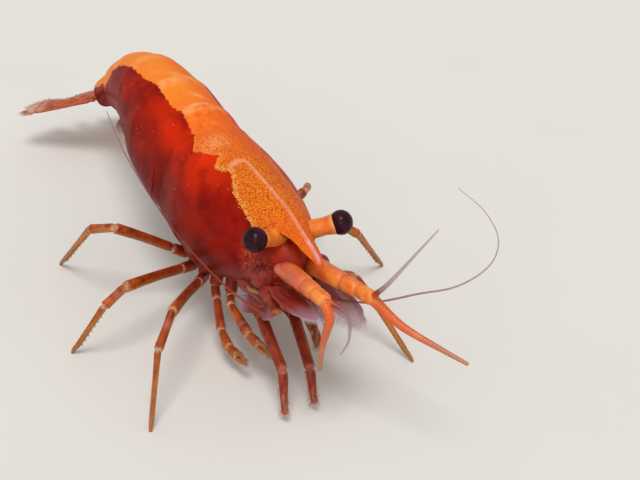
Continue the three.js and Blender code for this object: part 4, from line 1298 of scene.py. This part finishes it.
# %% Scales, cheeks and antennae
SCALE_FADE = 0.9
DROOP = [0, 0, -0.1]
scale_hairs = Gather()
for tile, (name, sign) in enumerate(SIDES):
    scale = Gather()
    shape = blade(scale, *ANTENNULES[name]["scale"], [0.3, 0.52, 0.6, 0.56, 0.34],
                  (0, 0, 1), 0.05, 0.8 * sign, 0.07, part=sign, cup=0.06, round_tip=0.72)
    # The inner edge is the one nearer the middle of the head.
    inner, outer, turned = ("minus", "plus", -1) if shape["side"][5][0] * sign > 0 else ("plus", "minus", 1)
    ahead = unit(shape["line"][-1] - shape["line"][0])
    keep = shape["t"] > 0.3
    spread = turned * (1 - 0.55 * soft(shape["t"][keep], 0.6, 1.0))[:, None]
    out = shape["side"][keep] * spread + ahead * 0.9
    fringe(scale_hairs, shape[inner][keep], out, [0.25, 0.4, 0.5, 0.4], DROOP, tile, 0.3, 130, SCALE_FADE)
    tip_edge = np.vstack([shape[inner][-8:], shape[outer][-8:][::-1]])
    fringe(scale_hairs, tip_edge, np.tile(ahead, (len(tip_edge), 1)), [0.4, 0.45, 0.3], DROOP, tile, 0.7, 60,
           SCALE_FADE)
    scale.make(f"antenna_scale_{name}", "clear_blade", [f"antennal_scale_{name}"])

    cheek = Gather()
    segment(cheek, [1.08 * sign, -0.05, 4.98], [1.32 * sign, -0.74, 4.92], 0.5, 0.44, flat=1.0, part=1,
            waist=0, seam=0.0, tips=(1.4, 1.4))
    # The cheek is nearly a ball. Its pattern lies on its own points, so it has no rings at its pole.
    cheek.lies[-1] = cheek.points[-1]
    segment(cheek, [1.12 * sign, -0.5, 4.55], [1.16 * sign, -1.3, 4.36], 0.34, 0.32, part=2, seam=0.4,
            tips=(1.4, 1.1))
    segment(cheek, [1.14 * sign, -1.1, 4.34], [1.24 * sign, -1.95, 4.2], 0.26, 0.24, part=3)
    # A pale ridge runs under the cheek, along the lower edge of the head's side.
    ridge = smooth_line([[1.3 * sign, 0.75, 4.05], [1.4 * sign, 0.16, 4.1], [1.4 * sign, -0.37, 4.3],
                         [1.34 * sign, -0.95, 4.44]], 30)
    swell = np.sin(np.linspace(0.02, np.pi - 0.02, 30))
    tube(cheek, ridge, 0.09 * np.sqrt(swell), tip=1.4 + 0.5 * swell)
    cheek.make(f"antenna_stem_{name}", "mouth_limb", [f"antenna_{name}"])
    whip_piece(f"antenna_whip_{name}", [[1.22 * sign, -1.85, 4.21]] + ANTENNAE[name], 0.05, 0.02,
               [f"antenna_flagellum_near_{name}", f"antenna_flagellum_far_{name}"],
               ring_length=0.12, clear=1.0, fade=1.0 if name == "left" else 0.3)
scale_hairs.make("bristles_scales", "bristles", coat=True)

# %% [markdown]
# ## Mouth
# The mouth is under the head, behind a small lip, and covered by three pairs of mouth limbs.
# The third pair is long and leg-like. Each has four joints with pale seams, and a brush of
# stiff bristles along its last two. Small clear leaves stand beside the mouth. From outside,
# the small limbs are a bundle of leaves and short rods, so the same two tools make them all.

# %% Mouthparts
parts = Gather()
for sign in (-1, 1):
    blade(parts, [0.2 * sign, 1.2, 3.0], [0.52 * sign, -0.55, 3.35], [0.22, 0.34, 0.3, 0.16],
          (0.3 * sign, 0, 1), 0.12, 0.0, 0.04, part=sign, bow=(0.12 * sign, 0, -0.12))
    blade(parts, [0.15 * sign, 0.9, 3.3], [0.34 * sign, -0.85, 3.75], [0.2, 0.3, 0.26, 0.12],
          (0.5 * sign, 0, 1), 0.1, 0.0, 0.04, part=3 * sign, bow=(0.1 * sign, 0, -0.1))
    segment(parts, [0.3 * sign, -0.5, 3.95], [0.12 * sign, -1.05, 3.7], 0.22, 0.16, part=2)
    segment(parts, [0.95 * sign, 1.7, 3.6], [0.9 * sign, -0.75, 4.05], 0.5, 0.42, part=4, tips=(1.3, 1.4),
            seam=0.0)
    palp = smooth_line([[0.5 * sign, -0.1, 3.5], [0.66 * sign, -0.9, 3.75], [0.6 * sign, -1.7, 3.7],
                        [0.66 * sign, -2.3, 3.3]], 40)
    t = np.linspace(0, 1, 40)
    tube(parts, palp, 0.07 * (1 - 0.8 * t), sides=10, tip=t)
for name, sign in SIDES:
    leaves = Gather()
    blade(leaves, [0.9 * sign, -0.5, 3.6], [1.35 * sign, 1.25, 2.95], [0.16, 0.34, 0.36, 0.2], (sign, 0, 0.4),
          0.08, 0.0, 0.03, part=1, cup=0.1, bow=(0.1 * sign, 0, -0.05))
    blade(leaves, [0.75 * sign, 0.5, 3.25], [1.18 * sign, -1.5, 3.8], [0.16, 0.3, 0.3, 0.16], (sign, 0, 0.5),
          0.08, 0.0, 0.03, part=2, cup=0.1, bow=(0.12 * sign, 0, -0.1))
    leaves.make(f"mouth_leaves_{name}", "clear_blade")
lip = smooth_line([[0, -0.8, 4.3], [0, -1.12, 3.95], [0, -1.0, 3.62], [0, -0.6, 3.45]], 24)
lip_size = 0.3 * np.sqrt(np.clip(1 - np.linspace(-0.9, 1, 24) ** 2, 0.003, 1))
tube(parts, lip, lip_size, lip_size * 0.7, 20, (0, 1, 0))
parts.make("mouth_parts", "mouth_limb", ["mouthparts"])

# %% Long mouth limbs
MAXILLIPEDS = {
    "right": [[-0.5, 1.75, 3.2], [-0.62, 1.35, 2.5], [-0.88, 0.12, 2.72], [-1.12, -2.37, 1.89],
              [-1.3, -3.13, 0.4]],
    "left": [[0.5, 1.75, 3.2], [0.6, 1.35, 2.5], [0.58, 0.3, 2.55], [0.2, -2.13, 1.47], [0.05, -2.95, 0.4]]}
MAXILLIPED_SIZES = [0.24, 0.26, 0.27, 0.24, 0.13]


def limb_hairs(gather, start, end, radius, length, count, tile, row, toward, ahead=1.0, share=(0, 1)):
    """Bristles along the side of a joint that faces toward."""
    start, end, toward = (np.asarray(x, float) for x in (start, end, toward))
    along = unit(end - start)
    toward = unit(toward - along * toward.dot(along))
    side = np.cross(along, toward)
    steps = np.linspace(*share, count)
    turn = chance.uniform(-0.9, 0.9, count)
    out = toward * np.cos(turn)[:, None] + side * np.sin(turn)[:, None]
    roots = start + (end - start) * steps[:, None] + out * radius * 0.75
    places = np.column_stack([steps, row + 0.1 * turn])
    hairs(gather, roots, out + along * ahead, length, along * 0.4, tile, places)


mouth_hairs = Gather()
for tile, (name, line) in enumerate(MAXILLIPEDS.items()):
    rod = Gather()
    line = np.array(line)
    for k in range(4):
        segment(rod, line[k], line[k + 1] + unit(line[k + 1] - line[k]) * 0.05, *MAXILLIPED_SIZES[k:k + 2],
                (1, 0, 0), 0.9, 0.06, part=k, tips=(k / 4, (k + 1) / 4))
    rod.make(f"mouth_limb_{name}", "mouth_limb", [f"maxilliped_{name}"])
    limb_hairs(mouth_hairs, line[3], line[4], 0.18, 0.24, 90, tile, 0.3, (0, 1, 0.4))
    limb_hairs(mouth_hairs, line[3], line[4], 0.16, 0.2, 60, tile, 0.6, (0, -1, 0), 1.4, (0.5, 1))
    limb_hairs(mouth_hairs, line[2], line[3], 0.24, 0.22, 60, tile, 0.8, (0, 0.3, -1), 0.8)
mouth_hairs.make("bristles_mouth", "bristles", coat=True)

# %% [markdown]
# ## Legs
# The first two pairs are short and end in small claws with brushes, which sweep food to the
# mouth. They are held off the floor. The other three pairs are for walking. Each has a long
# joint out to the knee, a short one, a long thin one with spines, and a hooked claw that
# stands on a small flat. The joints are clear orange-brown and the seams between them whitish.
# A leg could be one bent tube with rings painted on. Separate joints, each starting inside
# the end of the one before, give the real narrow seams their own shadows.

# %% Leg shapes
LEGS = {
    "leg_1_right": [[-0.75, 3.1, 3.2], [-1.0, 2.75, 2.25], [-1.45, 1.7, 2.4], [-1.36, 0.15, 1.95],
                    [-1.0, -0.95, 1.65]],
    "leg_1_left": [[0.75, 3.1, 3.2], [1.0, 2.75, 2.25], [1.5, 1.6, 2.35], [1.4, 0.1, 1.9], [1.05, -1.0, 1.6]],
    "leg_2_right": [[-0.9, 3.95, 3.2], [-1.3, 3.65, 2.15], [-1.75, 1.9, 1.15], [-1.8, 0.95, 0.9],
                    [-1.6, -0.1, 0.9]],
    "leg_2_left": [[0.9, 3.95, 3.2], [1.3, 3.65, 2.15], [1.95, 2.0, 1.2], [2.0, 1.0, 0.85], [1.8, 0.0, 0.75]],
    "leg_3_right": [[-1.05, 4.85, 3.2], [-1.4, 4.55, 2.15], [-4.45, 0.58, 3.5], [-5.45, -0.52, 2.7],
                    [-6.2, -1.7, 0]],
    "leg_3_left": [[1.05, 4.85, 3.2], [1.4, 4.55, 2.15], [3.75, 1.0, 2.95], [4.35, 0.3, 2.05],
                   [5.3, -1.5, 0]],
    "leg_4_right": [[-1.05, 5.7, 3.2], [-1.45, 5.55, 2.15], [-5.29, 3.44, 3.15], [-6.18, 3.36, 2.5],
                    [-7.22, 4.25, 0]],
    "leg_4_left": [[1.05, 5.7, 3.2], [1.45, 5.55, 2.15], [4.92, 4.55, 3.3], [5.8, 4.5, 2.65], [7.8, 5.55, 0]],
    "leg_5_right": [[-1.05, 6.5, 3.2], [-1.4, 6.5, 2.2], [-4.45, 6.95, 3.8], [-5.1, 8.0, 3.3],
                    [-5.5, 10.9, 0]],
    "leg_5_left": [[1.05, 6.5, 3.2], [1.4, 6.5, 2.2], [4.46, 7.1, 3.76], [5.1, 8.1, 3.3], [5.6, 11.0, 0]]}
LEG_HAIR_TILES = {name: tile for tile, name in enumerate(LEGS)}
leg_hairs = Gather()
print("legs:", len(LEGS))


# %% Spines and walking legs
def spike(gather, root, way, length, size, tip=0.9):
    """A short stiff spine."""
    t = np.linspace(0, 1, 6)
    line = np.asarray(root, float) + unit(way) * (length * t)[:, None]
    tube(gather, line, size * (1 - 0.9 * t), sides=8, tip=tip)


def walking_leg(name, line):
    """A leg from the body to the floor. The line is its joints: top, base, knee, wrist and foot."""
    coxa_top, coxa, knee, wrist, foot = np.array(line, float)
    facing = unit(np.cross((foot - coxa) * [1, 1, 0], [0, 0, 1]))
    hip = coxa + (knee - coxa) * 0.2
    heel = wrist + (foot - wrist) * 0.84
    leg = Gather()
    segment(leg, coxa_top, coxa, 0.33, 0.3, facing, 0.95, 0.02, part=1)
    segment(leg, coxa - (hip - coxa) * 0.3, hip, 0.25, 0.24, facing, 0.9, 0.0, part=2)
    segment(leg, hip - (knee - hip) * 0.03, knee, 0.22, 0.26, facing, 0.82, 0.06, bow=0.05, part=3,
            tips=(0, 0.3))
    segment(leg, knee - (wrist - knee) * 0.08, wrist, 0.2, 0.22, facing, 0.85, 0.08, part=4, tips=(0.3, 0.4))
    segment(leg, wrist - (heel - wrist) * 0.03, heel, 0.165, 0.125, facing, 0.85, 0.1, part=5,
            tips=(0.4, 0.85))
    # The hooked claw ends on a small flat at floor level.
    bend = unit((foot - wrist) * [1, 1, 0])
    hook = heel + (foot - heel) * 0.5 + bend * 0.05
    claw_line = smooth_line([heel - (heel - wrist) * 0.02, hook, foot], 20)
    t = np.linspace(0, 1, 20)
    claw_size = 0.11 * (1 - 0.42 * t)
    claw = rings(claw_line, claw_size, facing=facing)
    claw[-1, :, 2] = 0.0
    claw[..., 2] = np.maximum(claw[..., 2], 0.0)
    leg.grid(claw, rod_lie(claw_line, claw_size, 12, part=6), 0.0, (0.85 + 0.15 * t)[:, None])
    inner = -bend + [0, 0, -0.2]
    for place in (5, 9, 12):
        spike(leg, claw_line[place], inner + (foot - heel) * 0.4, 0.14, 0.028)
    for share in np.linspace(0.2, 0.92, 7):
        spot = wrist + (heel - wrist) * share
        spike(leg, spot + inner * 0.09, inner + unit(heel - wrist) * 0.9, 0.15, 0.026, 0.7)
    spike(leg, knee - unit(knee - hip) * 0.35 + inner * 0.2, inner + unit(knee - hip), 0.2, 0.035, 0.5)
    leg.make(f"walking_{name}", "limb_shell", [name])
    tile = LEG_HAIR_TILES[name]
    limb_hairs(leg_hairs, wrist, heel, 0.13, 0.12, 26, tile, 0.3, bend, 1.2)
    limb_hairs(leg_hairs, hip, knee, 0.2, 0.1, 18, tile, 0.6, (0, 0, 1), 1.4)


# %% Clawed legs
def claw_leg(name, line):
    """A short leg with a small claw: two fingers, each with a brush of bristles at its end."""
    coxa_top, coxa, knee, wrist, tip = np.array(line, float)
    facing = unit(np.cross(tip - coxa, [0, 0, 1.0]))
    hip = coxa + (knee - coxa) * 0.3
    leg = Gather()
    segment(leg, coxa_top, coxa, 0.3, 0.27, facing, 0.95, 0.02, part=1)
    segment(leg, coxa - (hip - coxa) * 0.2, hip, 0.22, 0.21, facing, 0.9, 0.0, part=2)
    segment(leg, hip - (knee - hip) * 0.05, knee, 0.2, 0.23, facing, 0.9, 0.05, part=3, tips=(0, 0.2))
    segment(leg, knee - (wrist - knee) * 0.05, wrist, 0.18, 0.27, facing, 0.85, 0.02, part=4, tips=(0.2, 0.4))
    palm = wrist + (tip - wrist) * 0.52
    segment(leg, wrist - (tip - wrist) * 0.06, palm, 0.22, 0.25, facing, 0.75, 0.0, part=5, tips=(0.4, 0.6))
    along = unit(tip - wrist)
    spread = unit(np.cross(facing, along))
    for sign in (-1, 1):
        aside = spread * sign
        finger = smooth_line([palm + aside * 0.1 - along * 0.08, palm + aside * 0.17 + along * 0.2,
                              tip + aside * 0.05 - along * 0.02], 24)
        t = np.linspace(0, 1, 24)
        size = 0.13 * (1 - 0.62 * t ** 1.5)
        size[[0, -1]] *= 0.35
        tube(leg, finger, size, size * 0.85, facing=facing, part=6 + sign, pale=0.25 * soft(t, 0.7, 1),
             tip=0.6 + 0.4 * t)
        roots = tip + aside * 0.06 - along * chance.uniform(0, 0.2, BRUSH)[:, None]
        ways = along + 0.45 * chance.normal(size=(BRUSH, 3)) + aside * 0.2
        places = np.column_stack([chance.uniform(0, 1, BRUSH), np.full(BRUSH, 0.3 + 0.3 * sign)])
        hairs(leg_hairs, roots, ways, 0.3, along * 0.2, LEG_HAIR_TILES[name], places, 0.011)
    leg.make(f"clawed_{name}", "limb_shell", [name])


BRUSH = 46
for name, line in LEGS.items():
    make_leg = claw_leg if name.startswith(("leg_1", "leg_2")) else walking_leg
    make_leg(name, line)
leg_hairs.make("bristles_legs", "bristles", coat=True)

# %% [markdown]
# ## Swimmerets
# Under each of the first five rings hangs a pair of swimmerets. Each has a short stalk and
# two soft leaves with long fringes, raked back along the belly while the animal stands. All
# ten are alike but for size, so one loop hangs them from the line of the back.

# %% Swimmerets
swimmeret_hairs = Gather()
for index, length in enumerate(SEGMENT_LENGTHS):
    s = np.array(SEGMENT_STARTS[index] + length / 2)
    place, left, over = back_at(s)
    half_width, depth = trunk_size(s)
    rearward = np.cross(over, left)
    rearward = rearward * np.sign(rearward[1])
    shrink = 1 - 0.08 * index
    for name, sign in SIDES:
        leaf = Gather()
        root = place - over * depth * 0.93 + left * sign * min(0.6, half_width * 0.45)
        way = unit(-over + rearward * 1.5 - left * sign * 0.12)
        knee = root + way * 0.55 * shrink + over * 0.1
        segment(leaf, root + over * 0.25, knee, 0.2 * shrink, 0.2 * shrink, left, 0.7, 0.0, part=index)
        for which, (turn, reach, width) in enumerate(((0.16, 1.5, 0.34), (-0.14, 1.25, 0.26))):
            ahead = unit(way + left * sign * turn)
            end = knee + ahead * reach * shrink
            shape = blade(leaf, knee - ahead * 0.1, end, [0.1, width, width * 0.9, width * 0.45],
                          np.cross(ahead, left) + 0.4 * left * sign * (1 - 2 * which), 0.05, 0.0, 0.03,
                          part=which, rows=24, sides=24, round_tip=0.6)
            for edge, turned in (("plus", 1), ("minus", -1)):
                fringe(swimmeret_hairs, shape[edge][5:], shape["side"][5:] * turned + ahead * 1.6,
                       [0.14, 0.24, 0.3], [0, 0, 0], index * 2 + (sign > 0),
                       0.2 + 0.4 * which + 0.1 * turned, 30)
        leaf.make(f"swimmeret_{index + 1}_{name}", "clear_blade", [f"pleopod_{index + 1}_{name}"])
swimmeret_hairs.make("bristles_swimmerets", "bristles", coat=True)

# %% [markdown]
# ## Tail fan
# The fan has a stiff middle blade, the telson, and two oval blades on each side. The outer
# ones have a straight thick edge and a seam across them near the end, beyond which they are
# thin and clear. All have a long fringe round the end. Flat cards with a cut-out picture are
# the quick way to make a fan. Leaves with a real rib and a real edge also hold from the side.

# %% Tail fan finish
fan = Finish("tail_blade", bleed=(0.15, 0.4, (1.0, 0.45, 0.2)), Specular_IOR_Level=0.3)
fan_tip = fan.painted("tip")
fan_veins = fan.lie.scaled((1.0, 0.14, 1.0)).noise(0.14, 3, 0.6, seed=6.0)
fan_dots = fan.lie.cells(0.17).fall(0.1, 0.3)
fan_cloud = fan.lie.noise(0.6, 3, 0.6, seed=3.0)
fan_colour = fan.coats(
    fan.mix(fan_cloud.rise(0.3, 0.7), tone(156, 54, 26), tone(214, 112, 54)),
    (fan_veins.rise(0.45, 0.7) * 0.5, tone(118, 38, 24)),
    (fan_dots * fan_cloud.rise(0.4, 0.7) * 0.5, tone(226, 150, 90)),
    (fan_tip.rise(0.6, 1.0) * 0.65, tone(216, 188, 166)))
fan.link(Base_Color=fan_colour, Roughness=0.28 + 0.2 * fan_veins,
         Alpha=0.9 + 0.1 * fan.painted("pale") - 0.3 * fan_tip.rise(0.55, 1.0))
fan.bump(fan_veins * 0.7 + fan_dots * 0.3, 0.03, 0.5)
print("finishes:", len(FINISHES))

# %% [markdown]
# The fan hangs on one frame: an axis that leaves the last ring towards the rear and down, a
# direction off its flat face, and one to the left. The telson carries short spines near its
# sides and along its end.

# %% Telson
fan_axis = unit([-0.14, 0.886, -0.443])
fan_flat = unit([0, 0.447, 0.894])
fan_left = unit(np.cross(fan_axis, fan_flat))


def turned_about(vector, axis, angle):
    """A direction turned by an angle about an axis."""
    return (vector * math.cos(angle) + np.cross(axis, vector) * math.sin(angle)
            + axis * axis.dot(vector) * (1 - math.cos(angle)))


fan_base = sleeve_points[-1].mean(0) + fan_axis * 0.05
fan_droop = -0.1 * fan_flat
fan_hairs = Gather()
telson = Gather()
middle_blade = blade(telson, fan_base - fan_axis * 0.15, fan_base + fan_axis * 3.58,
                     [0.46, 0.46, 0.4, 0.33, 0.25], fan_flat, 0.17, 0.0, 0.05, cup=-0.12, round_tip=0.93)
for row in (20, 29, 36):
    for sign in (-1, 1):
        spot = middle_blade["line"][row] + fan_left * sign * 0.22 + fan_flat * 0.08
        spike(telson, spot, fan_axis + fan_left * sign * 0.25, 0.2, 0.03)
for offset in (-0.2, -0.1, 0.0, 0.1, 0.2):
    spot = middle_blade["line"][-2] + fan_left * offset
    spike(telson, spot, fan_axis + fan_left * offset * 0.8, 0.26, 0.028)
telson.make("tail_middle", "tail_blade", ["telson"])
tip_edge = np.vstack([middle_blade["plus"][-6:], middle_blade["minus"][-6:][::-1]])
fringe(fan_hairs, tip_edge, np.tile(fan_axis, (12, 1)), [0.3, 0.4, 0.3], fan_droop, 0, 0.5, 40)

# %% [markdown]
# Each blade beside the telson has its own offset from the middle, its drop below it, its
# splay outwards, its roll about its own line, its length and its half-widths. The outer
# blade's seam lies at one row of it, and its thick edge and its bare side end there.

# %% Side blades of the fan
SEAM_ROW = 36
UROPODS = {"inner": (0.42, 0.14, 0.3, 0.2, 3.85, [0.2, 0.4, 0.5, 0.48, 0.34], 0.72),
           "outer": (0.72, 0.26, 0.58, 0.44, 3.9, [0.2, 0.3, 0.46, 0.58, 0.46], 0.78)}


def stiff_edge(uropod, shape, edge, outward, along):
    """The thick outer edge of an outer blade, with the seam across it and the seam's spines."""
    edge_line = edge[2:SEAM_ROW + 1]
    t = np.linspace(0, 1, len(edge_line))
    tube(uropod, edge_line, 0.075 * (1 - 0.5 * t), sides=10, pale=1.0, tip=0.6 * t)
    seam = np.linspace(-0.9, 0.95, 24)[:, None]
    middle = shape["line"][SEAM_ROW]
    seam_line = middle + (edge[SEAM_ROW] - middle) * seam + along * 0.12 * (1 - seam ** 2)
    tube(uropod, seam_line, 0.045, sides=8, pale=0.6, tip=0.5)
    for k in range(4):
        spike(uropod, edge[SEAM_ROW] - outward[SEAM_ROW] * 0.07 * k + along * 0.04, along, 0.13, 0.025)


tile = 1
for name, sign in SIDES:
    sideways = fan_left * sign
    for which, (offset, drop, splay, roll, reach, widths, tip_round) in UROPODS.items():
        is_outer = which == "outer"
        along = fan_axis * math.cos(splay) + sideways * math.sin(splay)
        root = fan_base + sideways * offset - fan_axis * 0.1 - fan_flat * drop
        facing = turned_about(fan_flat, along, sign * roll)
        uropod = Gather()
        shape = blade(uropod, root, root + along * reach, widths, facing, 0.09, 0.0, 0.06, part=tile,
                      cup=0.05 * is_outer, round_tip=tip_round)
        outer_edge, turn_out = ("plus", 1) if shape["side"][10].dot(sideways) > 0 else ("minus", -1)
        if is_outer:
            stiff_edge(uropod, shape, shape[outer_edge], shape["side"] * turn_out, along)
        segment(uropod, fan_base + sideways * 0.35 - fan_axis * 0.35 - fan_flat * 0.16,
                root + along * 0.25, 0.2, 0.17, fan_flat, 0.7, 0.0, part=tile)
        for edge, turned in (("plus", 1), ("minus", -1)):
            start = (SEAM_ROW if edge == outer_edge else 22) if is_outer else 8
            fade = (1 - 0.75 * soft(shape["t"][start:], 0.75, 1.0))[:, None]
            fringe(fan_hairs, shape[edge][start:], shape["side"][start:] * turned * fade + along * 0.75,
                   [0.25, 0.45, 0.5], fan_droop, tile, 0.3 + 0.3 * turned, 110)
        uropod.make(f"tail_{which}_{name}", "tail_blade", [f"uropod_{which}_{name}"])
        tile += 1
fan_hairs.make("bristles_tail", "bristles", coat=True)

# %% [markdown] ## Last update
# The view layer is brought up to date.

# %% Update
bpy.context.view_layer.update()
